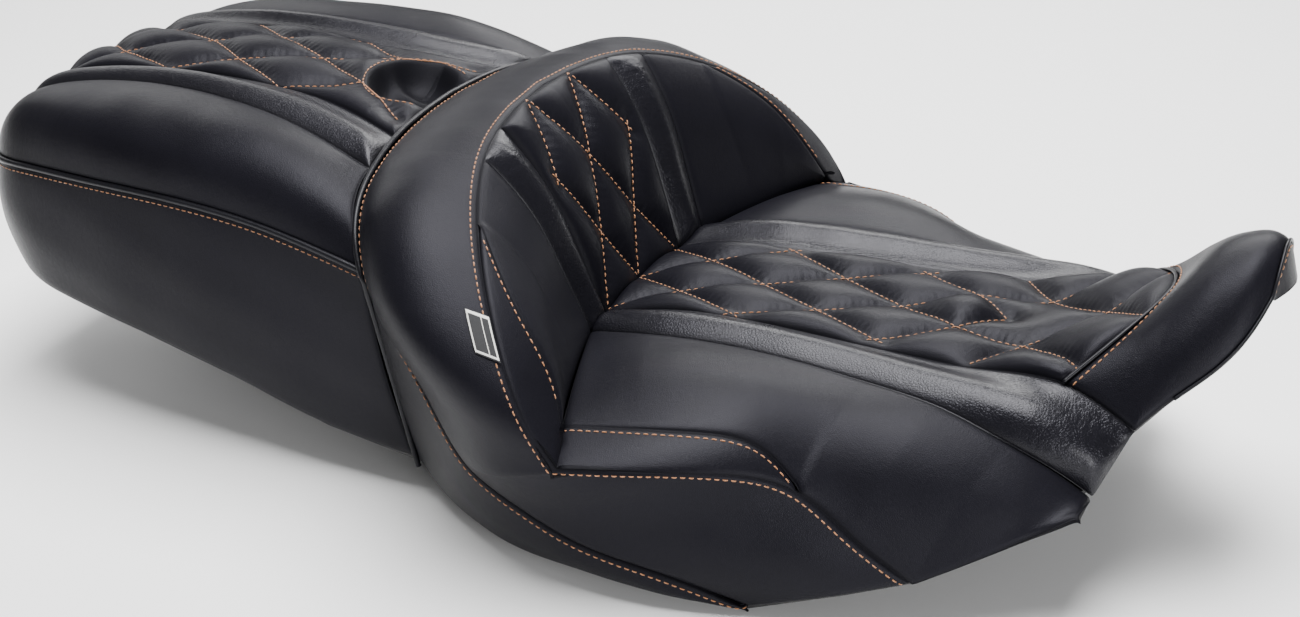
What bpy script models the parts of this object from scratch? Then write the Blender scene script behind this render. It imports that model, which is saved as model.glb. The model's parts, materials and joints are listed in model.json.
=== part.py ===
"""One-piece touring motorcycle seat: base pan, foam blocks, sewn cover panels, welts and mounting pieces.

Metres, +Z up, +X towards the front of the motorcycle, +Y to the rider's left. Every rail below is
written in millimetres in the seat's design frame: x = 0 near the crease of the rider's backrest, y = 0 on
the middle plane and z = 0 at the lowest seam of the skirt. The root empty moves that frame so that the
finished seat stands on z = 0 with its box centred on x = 0.
"""

import math

import bmesh
import bpy
import numpy as np

MM = 0.001
ORIGIN_X = 9.75  # mm, moves the middle of the seat's length to x = 0
ORIGIN_Z = 13.22  # mm, lifts the lowest edge of the pan to z = 0

STEPS = 2  # grid rows between two stations of a rail
COVER = 2.0  # mm, vinyl with its sewn-on backing foam
SEAM_GAP = 0.5  # mm, each panel stops this far from a flat seam
SLIVER_GAP = 1.3  # mm, the sliver stops this far from its inner seam, which folds sharply at the foot
WELT_GAP = 2.9  # mm, each panel stops this far from a piped corner
CORNER_GAP = 3.9  # mm, the same where two piped corners meet
WELT_RADIUS = 2.0
FOAM_GAP = 1.2  # mm, between a cover panel and its foam
FOAM_FLOOR = 8.0  # mm, from the pan's upper face to the foam: the glue line and the pan's ribs
PAN_THICKNESS = 3.0
PAN_INSET = 6.0  # mm, from the cover's hem to the pan's rim
PAN_LIP = 1.6  # mm, how far the rim shows below the hem
PAN_SINK = 1.0  # mm, between the pan's lower face and a piece fixed to it

# --- Passenger seat: rails from the bolster back to the rear welt, near side -------------------------
PASSENGER_WELT = [(-106, -177, 154), (-190, -173, 168), (-260, -170, 173), (-330, -163, 172),
                  (-387, -152, 169), (-420, -140, 166), (-439, -119, 163)]
PASSENGER_SHOULDER = [(-119, -164, 181), (-196, -163, 199), (-265, -160, 204), (-333, -153, 203),
                      (-388, -141, 197), (-424, -126, 186), (-446, -110, 163)]
PASSENGER_CROWN = [(-129, -144, 192), (-199, -139, 213), (-268, -133, 218), (-335, -127, 217),
                   (-390, -119, 210), (-424, -108, 196), (-449, -99, 163)]
PASSENGER_STRIP_OUTER = [(-135, -121, 198), (-196, -103, 212), (-262, -92, 219), (-330, -88, 219),
                         (-388, -88, 211), (-425, -88, 197), (-452, -86, 163)]
PASSENGER_STRIP_INNER = [(-140, -78, 203), (-200, -58, 214), (-265, -56, 220), (-332, -57, 219),
                         (-390, -60, 212), (-429, -64, 198), (-455, -64, 163)]
PASSENGER_MIDDLE = [(-143, 0, 207), (-203, 0, 218), (-268, 0, 224), (-335, 0, 223),
                    (-393, 0, 216), (-433, 0, 201), (-458, 0, 163)]
PASSENGER_HEM = [(-81, -163, 13), (-150, -165, 24), (-225, -164, 45), (-300, -161, 62),
                 (-362, -154, 72), (-402, -142, 78), (-428, -121, 82)]
PASSENGER_REAR_HEM = [(-435, -111, 83), (-438, -101, 84), (-442, -88, 85), (-444, -65, 86), (-446, 0, 87)]

# --- Bolster: stations run from the tail of the side band, up over the shoulder, to the middle -------
BAND_OUTER = [(177, -208, -8), (118, -229, 16), (75, -235, 26), (33, -233, 40), (-8, -225, 58),
              (-45, -211, 97), (-98, -184, 152), (-112, -166, 176), (-126, -118, 197),
              (-132, -78, 204), (-136, 0, 208)]
BAND_INNER = [(269, -186, 20), (232, -192, 47), (201, -196, 71), (146, -225, 86), (70, -254, 85),
              (57, -256, 105), (27, -238, 146), (-20, -175, 196), (-45, -119, 217), (-55, -79, 224),
              (-64, 0, 227)]
BAND_BULGE = [(0, -3, 0), (0, -6, 0), (0, -8, 0), (0, -9, 0), (-1, -8, 1), (-3, -13, 6),
              (-9, -22, 12), (-9, -16, 13), (-6, -6, 7), (-4, -3, 4), (-4, 0, 3)]
SLIVER_SEAM = [(65, -247, 91), (51, -219, 124), (25, -206, 158), (-15, -171, 192)]
CREASE = [(69, -247, 84), (64, -234, 94), (51, -205, 96), (34, -157, 97), (16, -93, 98), (11, -62, 97),
          (7, 0, 97)]
BACKREST_BULGE = [(0, 0, 0), (1, 1, 0), (3, 4, 1), (5, 6, 2), (7, 2, 3), (8, 1, 3), (8, 0, 3)]
SKIRT_HEM = [(172, -207, -11), (113, -221, -6), (60, -219, -3), (18, -209, -6), (-22, -193, -4),
             (-52, -178, 1), (-76, -165, 12)]
BAND_CORNER = 4  # the station where the side seam meets the backrest seam

# --- Rider seat: stations run from the crease forward ------------------------------------------------
SEAT_MIDDLE = [(7, 0, 97), (60, 0, 107), (115, 0, 109), (170, 0, 110), (225, 0, 111), (283, 0, 114),
               (370, 0, 156)]
SEAT_QUARTER = [(9, -31, 97), (57, -31, 107), (111, -31, 110), (165, -32, 111), (219, -34, 111),
                (277, -37, 113), (357, -45, 147)]
STRIP_INNER = [(11, -62, 97), (55, -60, 107), (108, -61, 111), (160, -64, 111), (213, -68, 111),
               (268, -73, 113), (325, -82, 118), (350, -86, 110), (371, -90, 99)]
STRIP_OUTER = [(16, -93, 98), (60, -102, 108), (110, -104, 112), (160, -107, 112), (212, -111, 109),
               (262, -118, 105), (306, -123, 92), (335, -120, 78), (356, -113, 62)]
INSERT_TOP = [(59, -219, 97), (103, -212, 101), (137, -203, 102), (172, -192, 95), (199, -193, 73)]
THIGH_HEM = [(269, -186, 20), (312, -168, 43), (352, -143, 66)]
THIGH_BULGE = [3, 6, 7, 7, 9, 11, 12, 6, 1]

# --- Nose: stations run from its cross seam to the tip, outer edge first along the strip -------------
NOSE_EDGE = [(390, -77, 118), (410, -65, 136), (424, -51, 154), (433, -32, 174)]
NOSE_QUARTER = [(357, -45, 147), (368, -47, 153), (381, -46, 161), (396, -43, 171), (410, -37, 180),
                (422, -30, 187), (434, -19, 190)]
NOSE_MIDDLE = [(370, 0, 156), (380, 0, 169), (390, 0, 180), (401, 0, 189), (413, 0, 195), (424, 0, 198),
               (434, 0, 197)]
NOSE_END_HEM = [(434, -28, 170), (440, -14, 172), (442, 0, 172)]

# --- Horseshoe recess at the front of the passenger's seat, and the label on the bolster -------------
RECESS_MOUTH = (-149.0, 34.0)  # x, half width
RECESS_WIDEST = (-166.0, 41.0)
RECESS_APEX_X = -197.0
RECESS_TOP = 207.0
RECESS_SLOPE = 0.17
RECESS_DEPTH = 8.0
LABEL_ROWS = (11.75, 12.5)
LABEL_COLUMNS = (5.3, 5.93)
LABEL_THICKNESS = 0.8

# --- Pieces under the pan ----------------------------------------------------------------------------
BUMPERS = [(-330, 24), (-120, 24), (60, 30)]  # x, diameter
BUMPER_SHARE = 0.835  # of the pan's half width, from the middle
BUMPER_HEIGHT = 7.0
TONGUE_CENTRE = 318
TONGUE_SIZE = (46, 44, 3)
TAB_CENTRE = -422
TAB_SIZE = (40, 36, 3)
PLATE_STEP = 4.0  # mm, how far a plate's free half is joggled down past its rivet heads
RIVET_DIAMETER = 9.0
RIVET_HEIGHT = 2.4

# --- Base pan: x, half width of the hem, height of the hem, rise of the tunnel -----------------------
PAN_STATIONS = [(-437, 80, 86, 26), (-415, 124, 81, 30), (-362, 152, 72, 36), (-300, 161, 62, 45),
                (-225, 164, 45, 60), (-150, 165, 24, 76), (-76, 165, 12, 74), (-52, 178, 1, 66),
                (-22, 193, -4, 62), (18, 209, -6, 58), (60, 218, -3, 54), (113, 221, -6, 58),
                (172, 207, -11, 60), (225, 192, 3, 55), (269, 186, 20, 44), (312, 165, 42, 36),
                (340, 146, 55, 32), (348, 120, 61, 30), (358, 102, 76, 26), (368, 88, 93, 20),
                (385, 76, 111, 18), (404, 65, 129, 18), (417, 51, 147, 12), (424, 40, 158, 6)]
PAN_PROFILE = [(1.0, 0.0), (0.93, 0.06), (0.74, 0.12), (0.6, 0.62), (0.46, 0.94), (0.25, 1.0), (0.0, 1.0)]

MATERIALS = {
    "satin_vinyl": ((0.030, 0.030, 0.034), 0.48, 0.0),
    "gloss_vinyl": ((0.022, 0.022, 0.025), 0.28, 0.0),
    "quilt_vinyl": ((0.034, 0.034, 0.038), 0.50, 0.0),
    "welt_vinyl": ((0.012, 0.012, 0.014), 0.38, 0.0),
    "foam": ((0.62, 0.58, 0.45), 0.95, 0.0),
    "pan_plastic": ((0.018, 0.018, 0.019), 0.55, 0.0),
    "bumper_rubber": ((0.015, 0.015, 0.015), 0.85, 0.0),
    "zinc_steel": ((0.55, 0.56, 0.58), 0.38, 1.0),
    "label_cloth": ((0.020, 0.020, 0.022), 0.80, 0.0),
}


# --- Scene helpers -----------------------------------------------------------------------------------
def clear_scene():
    for item in list(bpy.data.objects):
        bpy.data.objects.remove(item)


def make_material(name):
    colour, roughness, metallic = MATERIALS[name]
    material = bpy.data.materials.new(name)
    material.use_nodes = True
    shader = material.node_tree.nodes["Principled BSDF"]
    shader.inputs["Base Color"].default_value = (*colour, 1.0)
    shader.inputs["Roughness"].default_value = roughness
    shader.inputs["Metallic"].default_value = metallic
    material.diffuse_color = (*colour, 1.0)
    return material


def add_object(name, data, material):
    """Put a mesh or a curve in the seat's collection, under the root empty."""
    part = bpy.data.objects.new(name, data)
    part.parent = root
    parts.objects.link(part)
    data.materials.append(materials[material])
    return part


# --- Curves and grids, all as numpy arrays in millimetres --------------------------------------------
def natural_spline(knots, values, at):
    """Natural cubic spline through values (n, ...) at knots (n), read at the parameters at."""
    knots = np.asarray(knots, float)
    values = np.asarray(values, float)
    count = len(knots)
    if count == 2:
        share = (at - knots[0]) / (knots[1] - knots[0])
        return values[0] + share.reshape(-1, *[1] * (values.ndim - 1)) * (values[1] - values[0])
    step = np.diff(knots)
    system = np.eye(count)
    right = np.zeros_like(values)
    for i in range(1, count - 1):
        system[i, i - 1 : i + 2] = step[i - 1], 2 * (step[i - 1] + step[i]), step[i]
        after = (values[i + 1] - values[i]) / step[i]
        before = (values[i] - values[i - 1]) / step[i - 1]
        right[i] = 6 * (after - before)
    bend = np.linalg.solve(system, right.reshape(count, -1)).reshape(values.shape)
    cell = np.clip(np.searchsorted(knots, at, side="right") - 1, 0, count - 2)
    shape = (-1, *[1] * (values.ndim - 1))
    width = step[cell].reshape(shape)
    a = (knots[cell + 1] - at).reshape(shape) / width
    b = 1 - a
    cubic = ((a**3 - a) * bend[cell] + (b**3 - b) * bend[cell + 1]) * width**2 / 6
    return a * values[cell] + b * values[cell + 1] + cubic


def rail(points, steps=STEPS):
    """Points along a smooth curve through the stations, with the same number of steps between each."""
    points = np.asarray(points, float)
    knots = np.r_[0, np.cumsum(np.linalg.norm(np.diff(points, axis=0), axis=1))]
    stations = np.arange(len(points))
    places = np.linspace(0, len(points) - 1, (len(points) - 1) * steps + 1)
    return natural_spline(knots, points, np.interp(places, stations, knots))


def mirrored(points):
    return np.asarray(points) * (1, -1, 1)


def over_the_middle(points):
    """A rail that ends on the middle plane, carried on to the far side."""
    return np.concatenate([points, mirrored(points[:-1])[::-1]])


def loft(rails, steps):
    """Grid [along, across] through the rails, which keep their own points; steps says how many across."""
    rails = np.asarray(rails, float)
    gaps = np.linalg.norm(np.diff(rails, axis=0), axis=2).mean(axis=1)
    knots = np.r_[0, np.cumsum(gaps)]
    places = [knots[0]]
    for i, count in enumerate(steps):
        places += list(np.linspace(knots[i], knots[i + 1], count + 1)[1:])
    return natural_spline(knots, rails, np.array(places)).transpose(1, 0, 2)


def grid_normals(grid):
    along = np.gradient(grid, axis=0)
    across = np.gradient(grid, axis=1)
    normal = np.cross(along, across)
    return normal / np.linalg.norm(normal, axis=2, keepdims=True)


def trimmed(grid, first_row=0.0, last_row=0.0, first_column=0.0, last_column=0.0):
    """The grid with each border moved in by its distance, along the grid's own lines."""
    grid = grid.copy()

    def pull(border, inner, distance):
        way = inner - border
        length = np.linalg.norm(way, axis=1, keepdims=True)
        return border + way * np.minimum(distance / np.maximum(length, 1e-6), 0.48)

    grid[0] = pull(grid[0], grid[1], first_row)
    grid[-1] = pull(grid[-1], grid[-2], last_row)
    grid[:, 0] = pull(grid[:, 0], grid[:, 1], first_column)
    grid[:, -1] = pull(grid[:, -1], grid[:, -2], last_column)
    return grid


def border(grid):
    """Indices of the grid's border, once round."""
    rows, columns = grid.shape[:2]
    index = np.arange(rows * columns).reshape(rows, columns)
    return [*index[0, :-1], *index[:-1, -1], *index[-1, :0:-1], *index[:0:-1, 0]]


def solid_between(name, upper, lower, material):
    """Closed body between two grids of the same size, with walls round their borders."""
    rows, columns = upper.shape[:2]
    index = np.arange(rows * columns).reshape(rows, columns)
    mesh = bmesh.new()
    top = [mesh.verts.new(point * MM) for point in upper.reshape(-1, 3)]
    bottom = [mesh.verts.new(point * MM) for point in lower.reshape(-1, 3)]
    for i in range(rows - 1):
        for j in range(columns - 1):
            ring = [index[i, j], index[i + 1, j], index[i + 1, j + 1], index[i, j + 1]]
            mesh.faces.new([top[k] for k in ring])
            mesh.faces.new([bottom[k] for k in reversed(ring)])
    loop = border(upper)
    for k, one in enumerate(loop):
        two = loop[(k + 1) % len(loop)]
        mesh.faces.new([top[one], top[two], bottom[two], bottom[one]])
    return finish_mesh(name, mesh, material)


def finish_mesh(name, mesh, material):
    """Face the closed body outwards, and give it an object with smooth faces and sharp edges."""
    bmesh.ops.recalc_face_normals(mesh, faces=mesh.faces)
    if mesh.calc_volume(signed=True) < 0:
        bmesh.ops.reverse_faces(mesh, faces=mesh.faces)
    bmesh.ops.triangulate(mesh, faces=mesh.faces)
    data = bpy.data.meshes.new(name)
    mesh.to_mesh(data)
    mesh.free()
    data.shade_smooth()
    data.set_sharp_from_angle(angle=math.radians(40))
    return add_object(name, data, material)


def cover_panel(name, grid, outward, material, thickness=COVER, **trims):
    """A sewn panel: the grid is its outer face, and the thickness goes inwards."""
    grid = trimmed(grid, **trims)
    normal = grid_normals(grid)
    if (normal * np.asarray(outward, float)).sum() < 0:
        normal = -normal
    return solid_between(name, grid, grid - thickness * normal, material)


def tube(name, points, radius, material, sides=2):
    """A round strand along the points, with filled ends."""
    curve = bpy.data.curves.new(name, "CURVE")
    curve.dimensions = "3D"
    curve.bevel_depth = radius * MM
    curve.bevel_resolution = sides
    curve.use_fill_caps = True
    spline = curve.splines.new("POLY")
    spline.points.add(len(points) - 1)
    for point, place in zip(spline.points, points):
        point.co = (*(place * MM), 1.0)
    return add_object(name, curve, material)


def joggled_plate(name, x, top, size, way):
    """Steel plate with its riveted half up against the pan and its free half, on the way side, one step lower."""
    length, width, thickness = size
    riveted, bend, free = -length / 2, PLATE_STEP / 2, length / 2
    upper = [(riveted, 0.0), (-bend, 0.0), (bend, -PLATE_STEP), (free, -PLATE_STEP)]
    profile = upper + [(u, w - thickness) for u, w in reversed(upper)]
    mesh = bmesh.new()
    sides = []
    for y in (-width / 2, width / 2):
        sides.append([mesh.verts.new(((x + way * u) * MM, y * MM, (top + w) * MM)) for u, w in profile])
    count = len(profile)
    for i in range(count // 2 - 1):
        for side in sides:
            mesh.faces.new([side[i], side[i + 1], side[count - 2 - i], side[count - 1 - i]])
    for i in range(count):
        k = (i + 1) % count
        mesh.faces.new([sides[0][i], sides[0][k], sides[1][k], sides[1][i]])
    finish_mesh(name, mesh, "zinc_steel")


# --- The grids that several parts share --------------------------------------------------------------
def passenger_top_rails():
    half = [PASSENGER_WELT, PASSENGER_SHOULDER, PASSENGER_CROWN, PASSENGER_STRIP_OUTER,
            PASSENGER_STRIP_INNER, PASSENGER_MIDDLE]
    near = [rail(points) for points in half]
    return near + [mirrored(points) for points in near[-2::-1]]


PASSENGER_ACROSS = [1, 1, 1, 2, 2, 2, 2, 1, 1, 1]


def passenger_side_grid(top):
    """Wall from the welt down to the hem, all the way round from bolster to bolster."""
    welt = np.concatenate([top[:, 0], top[-1, 1:-1], top[::-1, -1]])
    near_hem = rail(PASSENGER_HEM)
    rear_stations = [PASSENGER_HEM[-1], *PASSENGER_REAR_HEM]
    rear_steps = [1, 1, 1, 2, 2]
    rear = [near_hem[-1]]
    for i, count in enumerate(rear_steps):
        start, end = np.array(rear_stations[i], float), np.array(rear_stations[i + 1], float)
        rear += [start + (end - start) * k / count for k in range(1, count + 1)]
    half = np.concatenate([near_hem, rear[1:]])
    hem = over_the_middle(half)
    way = np.gradient(welt, axis=0)
    outward = np.cross(way, (0, 0, 1.0))
    outward /= np.linalg.norm(outward, axis=1, keepdims=True)
    if outward[0, 1] > 0:
        outward = -outward
    belly = (welt + hem) / 2 + 6 * outward
    return loft([welt, belly, hem], [2, 2])


def inner_seam():
    """Side seam and backrest seam, two smooth curves that meet in a corner."""
    side = rail(BAND_INNER[: BAND_CORNER + 1])
    return np.concatenate([side, rail(BAND_INNER[BAND_CORNER:])[1:]])


def band_grid():
    """Band of the bolster and both side bands, from the outer seam to the inner seam."""
    outer, inner = rail(BAND_OUTER), inner_seam()
    bulge = rail(BAND_BULGE)
    low = outer * 2 / 3 + inner / 3 + bulge * 0.95
    high = outer / 3 + inner * 2 / 3 + bulge * 0.95
    return loft([over_the_middle(part) for part in (outer, low, high, inner)], [2, 2, 2])


def backrest_grid():
    """Face of the backrest, from its top seam down to the crease; low down the top seam is the sliver's."""
    inner = inner_seam()[BAND_CORNER * STEPS :]
    sliver = rail(SLIVER_SEAM)
    inner[: len(sliver)] = sliver
    crease, bulge = rail(CREASE), rail(BACKREST_BULGE)
    upper = inner * 2 / 3 + crease / 3 + bulge
    lower = inner / 3 + crease * 2 / 3 + bulge * 0.6
    return loft([over_the_middle(part) for part in (inner, upper, lower, crease)], [1, 2, 1])


def thigh_edge():
    """Outer edge of the thigh panel: along the insert, down the side seam, then along the hem."""
    seam = inner_seam()[: 2 * STEPS + 1][::-1]
    return np.concatenate([rail(INSERT_TOP)[:-1], seam, rail(THIGH_HEM)[1:]])


def thigh_grid():
    inner, edge = rail(STRIP_OUTER), thigh_edge()
    lift = np.interp(np.arange(len(inner)), np.arange(len(THIGH_BULGE)) * STEPS, THIGH_BULGE)
    upward = np.stack([0 * lift, -0.5 * lift, lift], axis=1)
    return loft([inner, (inner + edge) / 2 + upward, edge], [2, 2])


def nose_edge():
    return np.concatenate([rail(STRIP_INNER)[6 * STEPS :], rail([STRIP_INNER[-1], *NOSE_EDGE])[1:]])


def symmetric_grid(rails, steps):
    """Grid through the rails of the near half and their mirror images; the last rail is the middle."""
    return loft(rails + [mirrored(points) for points in rails[-2::-1]], steps + steps[::-1])


def quilt_grid():
    rails = [rail(STRIP_INNER)[: 6 * STEPS + 1], rail(SEAT_QUARTER), rail(SEAT_MIDDLE)]
    return symmetric_grid(rails, [2, 2])


def nose_grid(seam):
    """Nose panel; its first row is the seam it shares with the quilted seat panel."""
    grid = symmetric_grid([nose_edge(), rail(NOSE_QUARTER), rail(NOSE_MIDDLE)], [2, 2])
    grid[0] = seam
    return grid


def pan_width_at(x):
    """Half width of the pan inside its rim."""
    table = np.array(PAN_STATIONS, float)
    return np.interp(x, table[:, 0], table[:, 1]) - PAN_INSET - 1


def pan_height(x, y):
    """Height of the pan's upper face at a place inside the rim."""
    table = np.array(PAN_STATIONS, float)
    rim = np.interp(x, table[:, 0], table[:, 2]) + 3
    rise = np.interp(x, table[:, 0], table[:, 3]) - 3
    share, lift = np.array(PAN_PROFILE[::-1]).T
    return rim + rise * np.interp(np.abs(y) / pan_width_at(x), share, lift)


# --- Parts -------------------------------------------------------------------------------------------
def build_passenger_cover():
    top = loft(passenger_top_rails(), PASSENGER_ACROSS)
    edges = np.cumsum([0, *PASSENGER_ACROSS])
    up = (0, 0, 1)
    columns = [("passenger_side_top_right", 0, 3, "satin_vinyl"),
               ("passenger_strip_right", 3, 4, "gloss_vinyl"),
               ("passenger_quilt", 4, 6, "quilt_vinyl"),
               ("passenger_strip_left", 6, 7, "gloss_vinyl"),
               ("passenger_side_top_left", 7, 10, "satin_vinyl")]
    for name, first, last, material in columns:
        trims = dict(first_row=SEAM_GAP, last_row=CORNER_GAP, first_column=SEAM_GAP, last_column=SEAM_GAP)
        if first == 0:
            trims["first_column"] = CORNER_GAP
        if last == len(PASSENGER_ACROSS):
            trims["last_column"] = CORNER_GAP
        cover_panel(name, top[:, edges[first] : edges[last] + 1], up, material, **trims)
        if name == "passenger_quilt":
            cut(bpy.data.objects[name], recess_cutter(40.0))
    side = passenger_side_grid(top)
    centre = side.mean(axis=(0, 1))
    cover_panel("passenger_side_band", side, side - centre, "satin_vinyl",
                first_row=SEAM_GAP, last_row=SEAM_GAP, first_column=WELT_GAP)
    away = (side[:, 0] - centre) * (1, 1, 0)
    away /= np.linalg.norm(away, axis=1, keepdims=True)
    tube("passenger_welt", side[:, 0] + 1.5 * away, WELT_RADIUS, "welt_vinyl")
    return top, side


def build_passenger_foam(top, side):
    """Foam block under the passenger covers, down to the pan."""
    inset = COVER + FOAM_GAP
    upper = trimmed(top, first_row=4, last_row=6, first_column=6, last_column=6)
    normal = grid_normals(upper)
    normal *= np.sign(normal[..., 2:].mean())
    upper = upper - inset * normal
    lower = top.copy()
    middle = len(side) // 2
    columns = top.shape[1]
    near = side[: len(top), -1]
    far = mirrored(near)
    for j in range(columns):
        share = j / (columns - 1)
        lower[:, j] = near * (1 - share) + far * share
    lower[-1] = side[middle - columns // 2 : middle + columns // 2 + 1, -1]
    lower = trimmed(lower, first_row=4, last_row=9, first_column=9, last_column=9)
    lower[..., 2] = pan_height(lower[..., 0], lower[..., 1]) + FOAM_FLOOR
    foam = solid_between("passenger_foam", upper, lower, "foam")
    cut(foam, recess_cutter(RECESS_DEPTH + 1.2))


def recess_outline(margin, front):
    """Horseshoe in plan, open towards the bolster, drawn the margin inside its seam."""
    turn = np.linspace(-math.pi / 2, math.pi / 2, 13)
    widest, half_width = RECESS_WIDEST
    length = widest - RECESS_APEX_X - margin
    arc = [(widest - length * math.cos(t), (half_width - margin) * math.sin(t)) for t in turn]
    mouth = RECESS_MOUTH[1] - margin
    return [(front, -mouth), *arc, (front, mouth)]


def prism(name, outline, low, high):
    """Closed block with the given plan outline, both faces sloping like the recess's floor."""
    mesh = bmesh.new()
    rings = []
    for height in (low, high):
        floor = [(x, y, height + RECESS_SLOPE * (RECESS_MOUTH[0] - x)) for x, y in outline]
        rings.append([mesh.verts.new([value * MM for value in point]) for point in floor])
    bottom, top = rings
    mesh.faces.new(bottom[::-1])
    mesh.faces.new(top)
    for i in range(len(outline)):
        k = (i + 1) % len(outline)
        mesh.faces.new([bottom[i], bottom[k], top[k], top[i]])
    bmesh.ops.recalc_face_normals(mesh, faces=mesh.faces)
    data = bpy.data.meshes.new(name)
    mesh.to_mesh(data)
    mesh.free()
    return data


def recess_cutter(depth):
    """Cutter that opens the recess down to the depth below the seat's top."""
    outline = recess_outline(0.0, RECESS_MOUTH[0] + 30)
    data = prism("recess_cutter", outline, RECESS_TOP - depth, RECESS_TOP + 40)
    cutter = bpy.data.objects.new("recess_cutter", data)
    cutter.parent = root
    cutter.hide_render = True
    cutter.display_type = "WIRE"
    cutters.objects.link(cutter)
    return cutter


def cut(part, cutter):
    boolean = part.modifiers.new("recess", "BOOLEAN")
    boolean.operation = "DIFFERENCE"
    boolean.solver = "EXACT"
    boolean.object = cutter


def build_recess():
    """Sunk panel in the horseshoe at the front of the passenger's seat."""
    outline = recess_outline(0.8, RECESS_MOUTH[0])
    floor = RECESS_TOP - RECESS_DEPTH
    add_object("passenger_recess", prism("passenger_recess", outline, floor, floor + COVER), "satin_vinyl")


def build_bolster():
    band = band_grid()
    outward = np.stack([band[..., 0] * 0, band[..., 1], band[..., 2] - 60], axis=2)
    rear = 6 * STEPS
    panel = trimmed(band, first_row=SEAM_GAP, last_row=SEAM_GAP, first_column=SEAM_GAP, last_column=SEAM_GAP)
    panel[rear:-rear] = trimmed(band, first_column=WELT_GAP, last_column=SEAM_GAP)[rear:-rear]
    cover_panel("bolster_band", panel, outward, "satin_vinyl")
    tube("bolster_rear_welt", band[rear:-rear, 0], WELT_RADIUS, "welt_vinyl")
    hem = rail(SKIRT_HEM)
    seam = band[: rear + 1, 0]
    middle = (hem + seam) / 2 + (0, -3, 0)
    skirt = loft([seam, middle, hem], [1, 1])
    trims = dict(first_row=SEAM_GAP, last_row=WELT_GAP, first_column=SEAM_GAP + 0.3)
    cover_panel("skirt_right", skirt, (0, -1, 0), "satin_vinyl", **trims)
    cover_panel("skirt_left", mirrored(skirt), (0, 1, 0), "satin_vinyl", **trims)

    face = backrest_grid()
    forward = (1, 0, 0.3)
    cuts = [0, 4 * STEPS, 5 * STEPS, 7 * STEPS, 8 * STEPS, 12 * STEPS]
    names = [("backrest_side_right", "satin_vinyl"), ("backrest_strip_right", "gloss_vinyl"),
             ("backrest_quilt", "quilt_vinyl"), ("backrest_strip_left", "gloss_vinyl"),
             ("backrest_side_left", "satin_vinyl")]
    for (name, material), first, last in zip(names, cuts, cuts[1:]):
        trims = dict(first_row=SEAM_GAP, last_row=SEAM_GAP, first_column=WELT_GAP, last_column=COVER)
        cover_panel(name, face[first : last + 1], forward, material, **trims)
    inner = band[BAND_CORNER * STEPS : (BAND_CORNER + 3) * STEPS + 1, -1]
    sliver = loft([inner, rail(SLIVER_SEAM)], [1])
    trims = dict(first_row=COVER, last_row=COVER, first_column=WELT_GAP, last_column=SLIVER_GAP)
    for side, place in (("right", np.asarray), ("left", mirrored)):
        cover_panel(f"backrest_sliver_{side}", place(sliver), (1, 0, 0.3), "satin_vinyl", **trims)
    return band, face


def build_bolster_foam(band, face):
    """Foam roll of the bolster: one closed section swept from side to side."""
    first = BAND_CORNER * STEPS + 3
    outer_band = band[first:-first]
    inner_face = face[3:-3]
    band_normal = grid_normals(outer_band)
    band_normal *= np.sign((band_normal * (outer_band - (40, 0, 60))).sum())
    face_normal = grid_normals(inner_face)
    face_normal *= np.sign((face_normal * (1, 0, 0.3)).sum())
    inset = COVER + FOAM_GAP + 1.5
    skin = [outer_band[:, j] - inset * band_normal[:, j] for j in range(1, outer_band.shape[1] - 1)]
    seam_normal = band_normal[:, -1] + face_normal[:, 0]
    seam_normal /= np.linalg.norm(seam_normal, axis=1, keepdims=True)
    skin.append(outer_band[:, -1] - 1.6 * inset * seam_normal)
    skin += [inner_face[:, j] - inset * face_normal[:, j] for j in range(1, inner_face.shape[1] - 1)]
    crease = inner_face[:, -1] - (6, 0, 0)
    skin.append(crease)
    half = outer_band[: len(outer_band) // 2 + 1, 0]
    hem = rail(SKIRT_HEM)[first:]
    base = np.concatenate([hem, np.linspace(hem[-1], (-82, 0, 0), len(half) - len(hem) + 1)[1:]])
    base = over_the_middle(base)
    base[:, 1] -= np.sign(base[:, 1]) * 10
    base[:, 0] += 6
    front_base = crease.copy()
    front_base[:, 1] *= 0.96
    for row in (base, front_base):
        row[:, 2] = pan_height(row[:, 0], row[:, 1]) + FOAM_FLOOR
    front_base[:, 2] = np.minimum(front_base[:, 2], crease[:, 2] - 8)
    top_rear = outer_band[:, 0] - 2.2 * inset * band_normal[:, 0]
    sections = np.stack([base, top_rear, *skin, front_base], axis=1)
    rows, columns = sections.shape[:2]
    mesh = bmesh.new()
    ring = [[mesh.verts.new(point * MM) for point in row] for row in sections]
    for i in range(rows - 1):
        for j in range(columns):
            k = (j + 1) % columns
            mesh.faces.new([ring[i][j], ring[i + 1][j], ring[i + 1][k], ring[i][k]])
    mesh.faces.new(ring[0])
    mesh.faces.new(ring[-1][::-1])
    finish_mesh("bolster_foam", mesh, "foam")


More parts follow.
